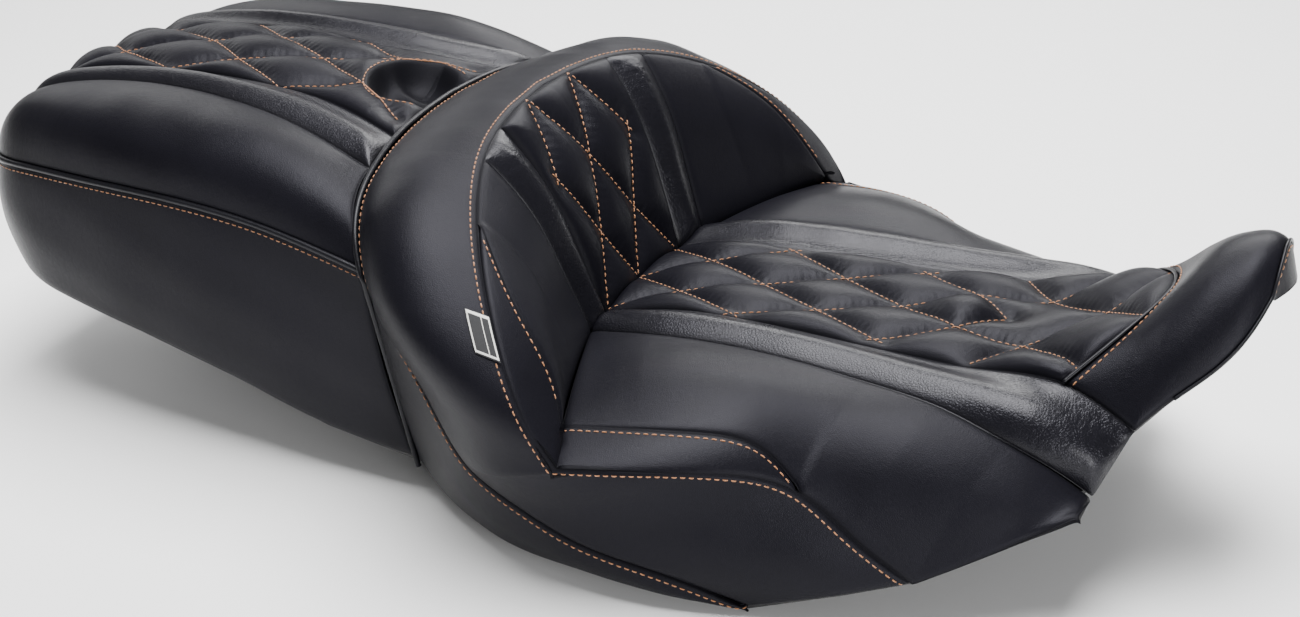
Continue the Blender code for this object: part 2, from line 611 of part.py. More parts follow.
def build_rider_cover():
    inner, outer = rail(STRIP_INNER), rail(STRIP_OUTER)
    quilt = quilt_grid()
    up = (0, 0, 1)
    cover_panel("seat_quilt", quilt, up, "quilt_vinyl", first_row=COVER, last_row=SEAM_GAP + 1.5,
                first_column=SEAM_GAP, last_column=SEAM_GAP)
    strip = loft([outer, inner], [2])
    crown = np.sin(np.linspace(0, math.pi, strip.shape[1]))
    strip[..., 2] += 2.5 * crown
    thigh = thigh_grid()
    insert_top = rail(INSERT_TOP)[::2]
    insert_low = inner_seam()[2 * STEPS : 4 * STEPS + 1][::-1]
    bulge = np.outer(np.sqrt(np.linspace(1, 0, len(insert_top))), (0, -4, 2))
    middle = (insert_top + insert_low) / 2 + bulge
    insert = loft([insert_top, middle, insert_low], [1, 1])
    side_trims = dict(first_row=COVER, last_row=SEAM_GAP, first_column=SEAM_GAP, last_column=SEAM_GAP)
    sides = [("right", np.asarray), ("left", mirrored)]
    for side, place in sides:
        cover_panel(f"seat_strip_{side}", place(strip), up, "gloss_vinyl", **side_trims)
        cover_panel(f"thigh_panel_{side}", place(thigh), up, "satin_vinyl",
                    first_row=COVER, last_row=SEAM_GAP, first_column=SEAM_GAP, last_column=0.9)
        outward = place(np.array((0.0, -1.0, 0.5)))
        cover_panel(f"thigh_insert_{side}", place(insert), outward, "satin_vinyl",
                    first_row=WELT_GAP, last_row=5.0, first_column=1.4, last_column=WELT_GAP)
    nose = nose_grid(quilt[-1])
    cover_panel("nose_panel", nose, up, "satin_vinyl", first_row=2.4, last_row=SEAM_GAP,
                first_column=SEAM_GAP, last_column=SEAM_GAP)
    tube("nose_seam_welt", nose[0] + (-0.5, 0, 1.2), 1.5, "welt_vinyl")
    end_hem = over_the_middle(rail(NOSE_END_HEM))
    seam = nose[-1]
    low = np.array([np.interp(seam[:, 1], end_hem[:, 1], end_hem[:, axis]) for axis in range(3)]).T
    cover_panel("nose_end_panel", loft([seam, low], [1]), (1, 0, 0), "satin_vinyl",
                first_row=1.0, last_row=1.0, first_column=WELT_GAP)
    return quilt, strip, thigh, nose


def build_rider_foam(quilt, strip, thigh):
    """Foam slab under the rider's covers, from the crease to the nose."""
    rows = 6 * STEPS + 1
    half = [thigh[:rows, -1], thigh[:rows, thigh.shape[1] // 2], strip[:rows, 0], strip[:rows, -1]]
    middle = quilt[:, quilt.shape[1] // 2]
    quarter = quilt[:, 2]
    rails = [*half, quarter, middle, mirrored(quarter), *[mirrored(points) for points in half[::-1]]]
    skin = loft(rails, [1] * (len(rails) - 1))
    upper = trimmed(skin, first_row=7, last_row=5, first_column=9, last_column=9)
    normal = grid_normals(upper)
    normal *= np.sign(normal[..., 2:].mean())
    upper = upper - (COVER + FOAM_GAP + 1.5) * normal
    lower = upper.copy()
    width = pan_width_at(lower[..., 0]) - 3
    share = np.abs(upper[..., 1]) / np.abs(upper[:, :1, 1])
    lower[..., 1] = np.sign(upper[..., 1]) * share * np.minimum(width, np.abs(upper[:, :1, 1]))
    lower[..., 2] = pan_height(lower[..., 0], lower[..., 1]) + FOAM_FLOOR
    lower[..., 2] = np.minimum(lower[..., 2], upper[..., 2] - 5)
    solid_between("rider_foam", upper, lower, "foam")


def build_nose_foam(nose):
    upper = trimmed(nose, first_row=5, last_row=7, first_column=9, last_column=9)
    normal = grid_normals(upper)
    normal *= np.sign(normal[..., 2:].mean())
    upper = upper - (COVER + FOAM_GAP + 1.5) * normal
    lower = upper.copy()
    floor = pan_height(lower[..., 0], lower[..., 1]) + 4
    lower[..., 2] = np.minimum(floor, upper[..., 2] - 4)
    solid_between("nose_foam", upper, lower, "foam")


def build_pan():
    """Moulded pan: one sheet that follows the hem and rises into a tunnel over the frame."""
    rows = []
    for x, width, rim, rise in PAN_STATIONS:
        half = [(x, -(width - PAN_INSET), rim - PAN_LIP)]
        for share, lift in PAN_PROFILE:
            half.append((x, -share * (width - PAN_INSET - 1), rim + 3 + (rise - 3) * lift))
        rows.append(over_the_middle(np.array(half, float)))
    grid = np.array(rows)
    mesh = bmesh.new()
    ring = [[mesh.verts.new(point * MM) for point in row] for row in grid]
    for i in range(len(ring) - 1):
        for j in range(len(ring[0]) - 1):
            mesh.faces.new([ring[i][j], ring[i + 1][j], ring[i + 1][j + 1], ring[i][j + 1]])
    data = bpy.data.meshes.new("base_pan")
    bmesh.ops.triangulate(mesh, faces=mesh.faces)
    mesh.to_mesh(data)
    mesh.free()
    pan = add_object("base_pan", data, "pan_plastic")
    wall = pan.modifiers.new("wall", "SOLIDIFY")
    wall.thickness = PAN_THICKNESS * MM
    wall.offset = -1.0


def under_pan(x, y):
    """Height of the pan's lower face at a place, in the design frame."""
    return pan_height(x, y) - PAN_THICKNESS - PAN_SINK


def pad(name, x, y, diameter, height, top, material, taper=0.85):
    """Round pad with flat faces; the upper one lies as close under the height that top gives as it can."""
    turn = np.linspace(0, 2 * math.pi, 21)[:-1]
    reach = diameter / 2
    slope_x = (top(x + reach, y) - top(x - reach, y)) / diameter
    slope_y = (top(x, y + reach) - top(x, y - reach)) / diameter

    def plane(u, v):
        return top(x, y) + slope_x * (u - x) + slope_y * (v - y)

    rim = [(x + reach * math.cos(t), y + reach * math.sin(t)) for t in turn]
    clear = min(top(u, v) - plane(u, v) for u, v in [*rim, (x, y)])
    mesh = bmesh.new()
    rings = []
    for radius, drop in ((diameter / 2, 0.0), (diameter / 2 * taper, height)):
        places = [(x + radius * math.cos(t), y + radius * math.sin(t)) for t in turn]
        heights = [plane(u, v) + clear - drop for u, v in places]
        rings.append([mesh.verts.new((u * MM, v * MM, w * MM)) for (u, v), w in zip(places, heights)])
    upper, lower = rings
    mesh.faces.new(upper)
    mesh.faces.new(lower[::-1])
    for i in range(len(turn)):
        k = (i + 1) % len(turn)
        mesh.faces.new([upper[i], lower[i], lower[k], upper[k]])
    finish_mesh(name, mesh, material)


def build_underside():
    """Rubber bumpers, the front tongue, the rear tab and their rivets."""
    for end, (x, diameter) in zip(("rear", "middle", "front"), BUMPERS):
        y = BUMPER_SHARE * float(pan_width_at(x))
        pad(f"bumper_{end}_right", x, -y, diameter, BUMPER_HEIGHT, under_pan, "bumper_rubber")
        pad(f"bumper_{end}_left", x, y, diameter, BUMPER_HEIGHT, under_pan, "bumper_rubber")
    plates = [("front_tongue", TONGUE_CENTRE, TONGUE_SIZE, 1), ("rear_tab", TAB_CENTRE, TAB_SIZE, -1)]
    for name, x, size, way in plates:
        rivet_shift = -way * size[0] / 4
        top = min(under_pan(x - size[0] / 2, 0), under_pan(x + size[0] / 2, 0))
        joggled_plate(name, x, top, size, way)
        head = top - size[2] - 0.3
        for side, sign in (("right", -1), ("left", 1)):
            y = sign * size[1] * 0.3
            pad(f"{name}_rivet_{side}", x + rivet_shift, y, RIVET_DIAMETER, RIVET_HEIGHT,
                lambda u, v: head, "zinc_steel", taper=0.7)


def build_label(band):
    """Woven label sewn flat on the right side of the bolster, at the backrest seam."""
    rows = np.linspace(*LABEL_ROWS, 4)
    columns = np.linspace(*LABEL_COLUMNS, 4)
    normal = grid_normals(band)
    normal *= np.sign((normal * (band - (40, 0, 60))).sum())
    raised = band + (LABEL_THICKNESS + 0.7) * normal
    for axis, places in ((0, rows), (1, columns)):
        raised = np.moveaxis(raised, axis, 0)
        low = places.astype(int)
        share = (places - low)[:, None, None]
        raised = np.moveaxis(raised[low] * (1 - share) + raised[low + 1] * share, 0, axis)
    cover_panel("side_label", raised, (0, -1, 0.4), "label_cloth", thickness=LABEL_THICKNESS)


clear_scene()
parts = bpy.data.collections.new("motorcycle_seat")
bpy.context.scene.collection.children.link(parts)
root = bpy.data.objects.new("seat_root", None)
root.location = (ORIGIN_X * MM, 0, ORIGIN_Z * MM)
parts.objects.link(root)
cutters = bpy.data.collections.new("cutters")
bpy.context.scene.collection.children.link(cutters)
materials = {name: make_material(name) for name in MATERIALS}

passenger_top, passenger_side = build_passenger_cover()
build_passenger_foam(passenger_top, passenger_side)
bolster_band, backrest_face = build_bolster()
build_bolster_foam(bolster_band, backrest_face)
seat_quilt, seat_strip, seat_thigh, seat_nose = build_rider_cover()
build_rider_foam(seat_quilt, seat_strip, seat_thigh)
build_nose_foam(seat_nose)
build_recess()
build_pan()
build_underside()
build_label(bolster_band)
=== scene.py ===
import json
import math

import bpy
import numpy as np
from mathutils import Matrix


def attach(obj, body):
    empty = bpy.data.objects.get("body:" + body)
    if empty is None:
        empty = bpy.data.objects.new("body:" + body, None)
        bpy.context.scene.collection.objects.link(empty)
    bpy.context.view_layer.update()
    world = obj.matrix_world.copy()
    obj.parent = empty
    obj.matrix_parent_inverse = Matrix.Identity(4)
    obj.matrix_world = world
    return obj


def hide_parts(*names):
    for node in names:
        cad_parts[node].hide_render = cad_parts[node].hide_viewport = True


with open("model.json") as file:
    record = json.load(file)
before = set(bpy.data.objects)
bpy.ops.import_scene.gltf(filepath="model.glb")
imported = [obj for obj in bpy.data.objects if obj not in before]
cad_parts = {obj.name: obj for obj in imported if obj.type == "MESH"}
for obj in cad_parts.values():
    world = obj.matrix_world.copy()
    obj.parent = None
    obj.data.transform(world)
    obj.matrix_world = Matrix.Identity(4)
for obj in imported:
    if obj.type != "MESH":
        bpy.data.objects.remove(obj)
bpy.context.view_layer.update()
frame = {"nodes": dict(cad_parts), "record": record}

# Looks of the one-piece touring motorcycle seat: sewn vinyl covers over foam, piping and orange stitches.
#
# Rails follow the CAD's, in millimetres in the seat's design frame; place() brings them to the row frame.
# Every cover panel starts as a patch between its seams. It is then crowned, rolled down into its seams and,
# where it is quilted, puffed up between its stitch lines. Each stitch is a strand of thread of its own.

MM = 0.001
ORIGIN = np.array((9.75, 0.0, 13.22))  # mm, from the design frame to the row frame
FINE = 12  # grid rows between two stations of a rail, before a panel is resampled
SMOOTH_STEP = 2.2  # mm, grid of a plain panel
QUILT_STEP = 1.25  # mm, grid of a quilted panel
COVER = 2.0  # mm, vinyl with its backing foam

EDGES = {  # mm, how far and over what width a panel's edge rolls down
    "seam": (2.4, 6.0),  # into a plain seam
    "welt": (1.0, 3.6),  # beside piping
    "tuck": (2.6, 10.0),  # where two cushions press on each other
    "hem": (5.0, 10.0),  # at the lower edge, where the cover turns under the pan
}
TUCK_REACH = 3.0  # mm, how far a pressed cushion goes in under its neighbour
CROWN_REACH, UNEVEN_REACH, RELIEF_REACH = 18.0, 12.0, 7.0  # mm, over which each rises from the seams
HEM_OPEN = 5.0  # how many times further off a hem counts than a seam, for unevenness, relief and painted seam shade
SEAM_SHADE, GROOVE_SHADE = 2.2, 1.6  # mm, reach of the painted shade in a seam and in a quilting groove
FINE_REACH, FINE_PULL = 14.0, 0.55  # mm next to a border, where a grid is finer, and how much finer
PIPING, NOSE_SEAM_PIPING, NOSE_EDGE_PIPING = 2.1, 1.3, 1.1  # mm, radii
UP = (0.0, 0.0, 1.0)
SEWN = dict(first_row="seam", last_row="seam", first_column="seam", last_column="seam")
TUCKED = {**SEWN, "first_row": "tuck"}
SHAPED = dict(step=QUILT_STEP, crown=0.0)  # a panel whose relief gives it all its shape

STITCH_PITCH, STITCH_LENGTH, STITCH_RADIUS = 5.0, 3.1, 0.45  # mm
STITCH_MARGIN = 1.0  # mm, left free at both ends of a line of stitches
LINE_EASE = 8.0  # mm, over which a stitch line eases round a bend
PUFF_REACH, PUCKER_REACH, PUCKER_HEIGHT = 8.5, 7.0, 0.35  # mm, from a stitch line
LONG_PUCKER = 2.7 * STITCH_PITCH
PIPING_SIDES, PIPING_STEP = 14, 1.6  # facets round the cord, and mm between its sections

# --- Rails, as in the CAD, with a few stations moved to match the photograph ---
PASSENGER_WELT = [(-102, -181, 153), (-190, -173, 168), (-260, -170, 173), (-330, -163, 172),
                  (-387, -152, 169), (-420, -140, 166), (-439, -119, 163)]
PASSENGER_SHOULDER = [(-116, -166, 180), (-196, -163, 199), (-265, -160, 204), (-333, -153, 203),
                      (-388, -141, 197), (-424, -126, 186), (-446, -110, 163)]
PASSENGER_CROWN = [(-125, -145, 191), (-199, -139, 213), (-268, -133, 218), (-335, -127, 217),
                   (-390, -119, 210), (-424, -108, 196), (-449, -99, 163)]
PASSENGER_STRIP_OUTER = [(-130, -121, 198), (-196, -103, 212), (-262, -92, 219), (-330, -88, 219),
                         (-388, -88, 211), (-425, -88, 197), (-452, -86, 163)]
PASSENGER_STRIP_INNER = [(-136, -78, 204), (-200, -58, 214), (-265, -56, 220), (-332, -57, 219),
                         (-390, -60, 212), (-429, -64, 198), (-455, -64, 163)]
PASSENGER_MIDDLE = [(-140, 0, 208), (-203, 0, 218), (-268, 0, 224), (-335, 0, 223),
                    (-393, 0, 216), (-433, 0, 201), (-458, 0, 163)]
PASSENGER_HEM = [(-81, -163, 13), (-150, -165, 24), (-225, -164, 45), (-300, -161, 62),
                 (-362, -154, 72), (-402, -142, 78), (-428, -121, 82)]
PASSENGER_REAR_HEM = [(-435, -111, 83), (-438, -101, 84), (-442, -88, 85), (-444, -65, 86), (-446, 0, 87)]
BAND_OUTER = [(177, -208, -8), (118, -229, 16), (75, -235, 26), (33, -233, 40), (-8, -225, 58),
              (-45, -211, 97), (-98, -184, 152), (-112, -166, 176), (-126, -118, 197),
              (-132, -78, 204), (-136, 0, 208)]
BAND_INNER = [(269, -186, 20), (232, -192, 47), (201, -196, 71), (146, -225, 86), (70, -254, 85),
              (57, -256, 105), (27, -238, 146), (-20, -175, 196), (-45, -119, 217), (-55, -79, 224),
              (-64, 0, 227)]
BAND_BULGE = [(0, -3, 0), (0, -6, 0), (0, -8, 0), (0, -9, 0), (-1, -8, 1), (-3, -13, 6),
              (-9, -22, 12), (-9, -16, 13), (-6, -6, 7), (-4, -3, 4), (-4, 0, 3)]
BAND_CORNER = 4  # the station where the side seam meets the backrest seam
SKIRT_TOP = 6  # the station where the skirt ends and the rear piping begins
SLIVER_SEAM = [(63, -229, 97), (49, -216, 126), (24, -206, 158), (-19, -173, 197)]
CREASE = [(70, -251, 84), (65, -237, 95), (51, -205, 96), (34, -157, 97), (16, -93, 98), (11, -62, 97),
          (7, 0, 97)]
SLIVER_FOOT = 1.25  # the sliver's inner seam meets the crease so many stations along
BACKREST_BULGE = [(0, 0, 0), (1, 1, 0), (3, 4, 1), (5, 6, 2), (7, 2, 3), (8, 1, 3), (8, 0, 3)]
SKIRT_HEM = [(172, -207, -11), (113, -221, -6), (60, -219, -3), (18, -209, -6), (-22, -193, -4),
             (-52, -178, 1), (-76, -165, 12)]
SEAT_MIDDLE = [(7, 0, 97), (60, 0, 107), (115, 0, 109), (170, 0, 110), (225, 0, 111), (283, 0, 114),
               (370, 0, 156)]
SEAT_QUARTER = [(9, -31, 97), (57, -31, 107), (111, -31, 110), (165, -32, 111), (219, -34, 111),
                (277, -37, 113), (357, -45, 147)]
STRIP_INNER = [(11, -62, 97), (55, -60, 107), (108, -61, 111), (160, -64, 111), (213, -68, 111),
               (268, -73, 113), (325, -82, 118), (350, -86, 110), (371, -90, 99)]
STRIP_OUTER = [(16, -93, 98), (60, -102, 108), (110, -104, 112), (160, -107, 112), (212, -111, 109),
               (262, -118, 105), (306, -123, 92), (335, -120, 78), (356, -113, 62)]
INSERT_TOP = [(59, -219, 97), (103, -212, 101), (137, -203, 102), (172, -192, 95), (199, -193, 73)]
THIGH_HEM = [(269, -186, 20), (312, -168, 43), (352, -143, 66)]
THIGH_BULGE = [3, 7, 8, 8, 9, 11, 12, 6, 1]
NOSE_EDGE = [(390, -77, 118), (410, -65, 136), (424, -51, 154), (433, -32, 174)]
NOSE_QUARTER = [(357, -45, 147), (368, -47, 153), (381, -46, 161), (396, -43, 171), (410, -37, 180),
                (422, -30, 187), (434, -19, 190)]
NOSE_MIDDLE = [(370, 0, 156), (380, 0, 169), (390, 0, 180), (401, 0, 189), (413, 0, 195), (424, 0, 198),
               (434, 0, 197)]
NOSE_END_HEM = [(434, -28, 170), (440, -14, 172), (442, 0, 172)]

# --- Quilting: crossings of the stitch lines, near half; the far half mirrors them ---
SEAT_LINES = [  # x, y
    [(6, 0), (50, -28), (99, -57), (106, -61)],
    [(6, 57), (50, 28), (99, 0), (148, -28), (197, -57), (205, -61)],
    [(99, 57), (148, 28), (197, 0), (241, -27), (288, -36), (334, -77)],
    [(191, -60), (197, -57), (241, -27), (268, 0)],
    [(262, -70), (288, -36), (331, 0), (366, 42)],
    [(6, -57), (1, -60)],
    [(92, -61), (99, -57)],
]
BACKREST_LINES = [  # height over the crease, y
    [(0, 0), (40, -26), (87, -56), (92, -59)],
    [(0, 56), (40, 26), (85, 0), (130, -31), (136, -35)],
    [(82, 59), (87, 56), (130, 31), (136, 27)],
    [(0, -56), (4, -59)],
]
PASSENGER_LINES = [  # x, y
    [(-146, 0), (-192, -28), (-240, -57)],
    [(-146, 57), (-192, 28), (-240, 0), (-293, -28), (-333, -57)],
    [(-240, 57), (-293, 28), (-333, 0), (-393, -28), (-425, -57)],
    [(-333, 57), (-393, 28), (-425, 0), (-452, -26)],
    [(-425, 57), (-452, 28)],
    [(-146, -57), (-192, -28)],
]
RECESS_MOUTH = (-149.0, 34.0)  # x, half width
RECESS_WIDEST = (-166.0, 41.0)
RECESS_APEX_X = -197.0
RECESS_DEPTH, RECESS_FOLD = 19.0, 6.0  # mm, below the puffs round it, and the height of the fold in it
REAR_FLAT = 34.0  # mm, over which quilting and strips flatten towards the rear edge
LABEL_ROWS = (11.75, 12.5)  # in rows of the CAD's band, two to a station
LABEL_COLUMNS = (5.3, 5.93)  # in columns of the CAD's band, six from seam to seam
CAD_STEPS = 2
LABEL_RAISED, LABEL_THICKNESS, LABEL_TUCK = 3.1, 0.8, 1.2  # mm, over the patch and down at its edge
LABEL_BORDER = (0.03, 0.09)  # from and to, in shares of the label's width
LABEL_BAR = (0.62, 0.018)  # the pale bar's middle and half width


# --- Curves and patches ---
def place(points):
    """Millimetres in the design frame to metres in the row frame."""
    return (np.asarray(points, float) + ORIGIN) * MM


def natural_spline(knots, values, at):
    """Natural cubic spline through values (n, ...) at knots (n), read at the parameters at."""
    knots = np.asarray(knots, float)
    values = np.asarray(values, float)
    count = len(knots)
    step = np.diff(knots)
    shape = (-1, *[1] * (values.ndim - 1))
    system = np.eye(count)
    for i in range(1, count - 1):
        system[i, i - 1 : i + 2] = step[i - 1], 2 * (step[i - 1] + step[i]), step[i]
    right = np.zeros_like(values)
    right[1:-1] = 6 * np.diff(np.diff(values, axis=0) / step.reshape(shape), axis=0)
    bend = np.linalg.solve(system, right.reshape(count, -1)).reshape(values.shape)
    cell = np.clip(np.searchsorted(knots, at, side="right") - 1, 0, count - 2)
    width = step[cell].reshape(shape)
    a = (knots[cell + 1] - at).reshape(shape) / width
    b = 1 - a
    cubic = ((a**3 - a) * bend[cell] + (b**3 - b) * bend[cell + 1]) * width**2 / 6
    return a * values[cell] + b * values[cell + 1] + cubic


def unit(vectors):
    return vectors / np.linalg.norm(vectors, axis=-1, keepdims=True)


def arc_length(points):
    return np.r_[0, np.cumsum(np.linalg.norm(np.diff(points, axis=0), axis=1))]


def read_along(run, values, at):
    """Values of the points of a line, read at distances along it."""
    return np.stack([np.interp(at, run, column) for column in np.transpose(values)], axis=-1)


def rail(points, steps=FINE):
    """Points along a smooth curve through the stations, with the same number of steps between each."""
    points = np.asarray(points, float)
    knots = arc_length(points)
    places = np.linspace(0, len(points) - 1, (len(points) - 1) * steps + 1)
    return natural_spline(knots, points, np.interp(places, np.arange(len(points)), knots))


def mirrored(points):
    return np.asarray(points) * (1, -1, 1)


SIDES = (("right", np.asarray, -1), ("left", mirrored, 1))  # name, its map from the right side, sign of y


def over_the_middle(points):
    """A rail that ends on the middle plane, carried on to the far side."""
    return np.concatenate([points, mirrored(points[:-1])[::-1]])


def loft(rails, steps):
    """Grid [along, across] through the rails; steps says how many columns lie between two of them."""
    rails = np.asarray(rails, float)
    gaps = np.linalg.norm(np.diff(rails, axis=0), axis=2).mean(axis=1)
    knots = np.r_[0, np.cumsum(gaps)]
    places = [knots[0]]
    for i, count in enumerate(steps):
        places += list(np.linspace(knots[i], knots[i + 1], count + 1)[1:])
    return natural_spline(knots, rails, np.array(places)).transpose(1, 0, 2)


def symmetric_loft(rails, steps):
    """Grid through the rails of the near half and their mirror images; the last rail is the middle."""
    return loft(rails + [mirrored(points) for points in rails[-2::-1]], steps + steps[::-1])


def along_axis(grid, axis, places):
    """The grid read at fractional places along one axis."""
    grid = np.moveaxis(grid, axis, 0)
    low = np.clip(places.astype(int), 0, len(grid) - 2)
    share = (places - low).reshape(-1, *[1] * (grid.ndim - 1))
    return np.moveaxis(grid[low] * (1 - share) + grid[low + 1] * share, 0, axis)


def resampled(grid, step):
    """The same patch with a grid of about the step, finer next to its borders, where it rolls down."""
    for axis in (0, 1):
        lengths = np.linalg.norm(np.diff(grid, axis=axis), axis=2).mean(axis=1 - axis)
        knots = np.r_[0, np.cumsum(lengths)]
        count = max(int(knots[-1] / step), 6) + 1
        even = np.linspace(0, 1, count)
        reach = min(0.5, FINE_REACH / knots[-1])
        share = np.minimum(even, 1 - even) / reach
        pull = FINE_PULL * reach * np.where(share < 1, np.sin(math.pi * share) / math.pi, 0)
        eased = even - np.sign(0.5 - even) * pull
        grid = along_axis(grid, axis, np.interp(eased * knots[-1], knots, np.arange(len(knots))))
    return grid


def grid_normals(grid, outward):
    """Unit normals of the grid, on the side that outward points to: a vector, or a function of the grid."""
    if callable(outward):
        outward = outward(grid)
    normal = np.cross(np.gradient(grid, axis=0), np.gradient(grid, axis=1))
    normal /= np.maximum(np.linalg.norm(normal, axis=2, keepdims=True), 1e-9)
    return normal if (normal * np.asarray(outward, float)).sum() >= 0 else -normal


def border_distances(grid):
    """Distance of every grid point from each of the four borders, along the grid's lines."""
    down = np.linalg.norm(np.diff(grid, axis=0), axis=2)
    across = np.linalg.norm(np.diff(grid, axis=1), axis=2)
    from_row = np.pad(np.cumsum(down, axis=0), ((1, 0), (0, 0)))
    from_column = np.pad(np.cumsum(across, axis=1), ((0, 0), (1, 0)))
    return {
        "first_row": from_row,
        "last_row": from_row[-1] - from_row,
        "first_column": from_column,
        "last_column": from_column[:, -1:] - from_column,
    }


def reaching(grid, side):
    """The patch with one border carried on under the neighbour that presses on it."""
    axis = int("column" in side)
    lines = np.moveaxis(grid, axis, 0)
    lines = lines[::-1].copy() if "last" in side else lines.copy()
    way = lines[0] - lines[3]
    lines[0] += TUCK_REACH * way / np.maximum(np.linalg.norm(way, axis=1, keepdims=True), 1e-6)
    lines = lines[::-1] if "last" in side else lines
    return np.moveaxis(lines, 0, axis)


# --- Shapes of sewn covers ---
def rolled(distance, depth, radius):
    """Drop of a cover that turns down into a seam on a quarter of an ellipse."""
    share = np.clip(1 - distance / radius, 0, 1)
    return depth * (1 - np.sqrt(1 - share**2))


def waves(points, lengths, seed):
    """Smooth unevenness between about -1 and 1, from a few plane waves of the given lengths in mm."""
    source = np.random.default_rng(seed)
    total = np.zeros(points.shape[:-1])
    for length in lengths:
        for _ in range(3):
            way = source.normal(size=3)
            way /= np.linalg.norm(way)
            phase = source.uniform(0, 2 * math.pi)
            total += np.sin(points @ way * 2 * math.pi / length + phase)
    return total / (2.0 * math.sqrt(3 * len(lengths)))


def course(line, step):
    """A stitch line through its crossings: straight between them and eased round each bend."""
    line = np.asarray(line, float)
    run = arc_length(line)
    even = np.linspace(0, run[-1], max(int(run[-1] / step), 2) + 1)
    dense = read_along(run, line, even)
    reach = min(int(LINE_EASE / step + 0.5), len(dense) - 2)
    before = 2 * dense[0] - dense[reach:0:-1]
    after = 2 * dense[-1] - dense[-2 : -reach - 2 : -1]
    longer = np.concatenate([before, dense, after])
    return np.mean([longer[k : k + len(dense)] for k in range(2 * reach + 1)], axis=0)


def line_distance(places, line):
    """Distance in plan from every place to a smooth stitch line, and how far along the line that is."""
    line = course(line, 6.0)
    best = np.full(places.shape[:-1], np.inf)
    along = np.zeros(places.shape[:-1])
    run = arc_length(line)
    for i in range(len(line) - 1):
        way = line[i + 1] - line[i]
        length = np.linalg.norm(way)
        share = np.clip(((places - line[i]) @ way) / length**2, 0, 1)
        gap = np.linalg.norm(places - line[i] - share[..., None] * way, axis=-1)
        closer = gap < best
        best = np.where(closer, gap, best)
        along = np.where(closer, run[i] + share * length, along)
    return best, along


def both_sides(lines):
    """The stitch lines of the near half and their mirror images."""
    return lines + [[(u, -v) for u, v in line] for line in lines]


def quilted(places, lines, height):
    """Puffs between the stitch lines: pinched to the line at every stitch, with small puckers beside it."""
    puff = np.ones(places.shape[:-1])
    pucker = np.zeros(places.shape[:-1])
    groove = np.full(places.shape[:-1], np.inf)
    for line in both_sides(lines):
        gap, along = line_distance(places, line)
        puff *= 1 - np.exp(-((gap / PUFF_REACH) ** 1.15))
        fade = np.exp(-((gap / PUCKER_REACH) ** 2)) * (1 - np.exp(-gap / 1.2))
        pucker += fade * np.cos(2 * math.pi * along / STITCH_PITCH) * 0.5
        pucker += fade * np.cos(2 * math.pi * along / LONG_PUCKER + 1.0) * 0.5
        groove = np.minimum(groove, gap)
    return height * (puff - 0.15) + PUCKER_HEIGHT * pucker, groove


# --- Materials ---
def new_material(name):
    material = bpy.data.materials.new(name)
    material.use_nodes = True
    tree = material.node_tree
    shader = tree.nodes["Principled BSDF"]
    return material, tree, shader


def node(tree, kind, **settings):
    """Add a node; a setting names an attribute of the node or, failing that, an input socket."""
    made = tree.nodes.new(kind)
    for key, value in settings.items():
        if hasattr(made, key):
            setattr(made, key, value)
        else:
            made.inputs[key.replace("_", " ")].default_value = value
    return made


def ramp(tree, value, low, high, start, end):
    """Map a value from start..end to a number or a colour from low to high."""
    spread = node(tree, "ShaderNodeValToRGB")
    colours = [(v, v, v, 1.0) if np.isscalar(v) else (*v, 1.0) for v in (low, high)]
    for stop, position, colour in zip(spread.color_ramp.elements, (start, end), colours):
        stop.position = position
        stop.color = colour
    tree.links.new(value, spread.inputs["Fac"])
    return spread.outputs["Color"]


def textured(tree, kind, where, **settings):
    """A texture node read at the given places."""
    made = node(tree, kind, **settings)
    tree.links.new(where, made.inputs["Vector"])
    return made


def bump(tree, height, strength, distance):
    """A bump node that turns a height into a bent normal."""
    made = node(tree, "ShaderNodeBump", Strength=strength, Distance=distance)
    tree.links.new(height, made.inputs["Height"])
    return made


def emboss(tree, shader, height, strength, distance):
    relief = bump(tree, height, strength, distance)
    tree.links.new(relief.outputs["Normal"], shader.inputs["Normal"])


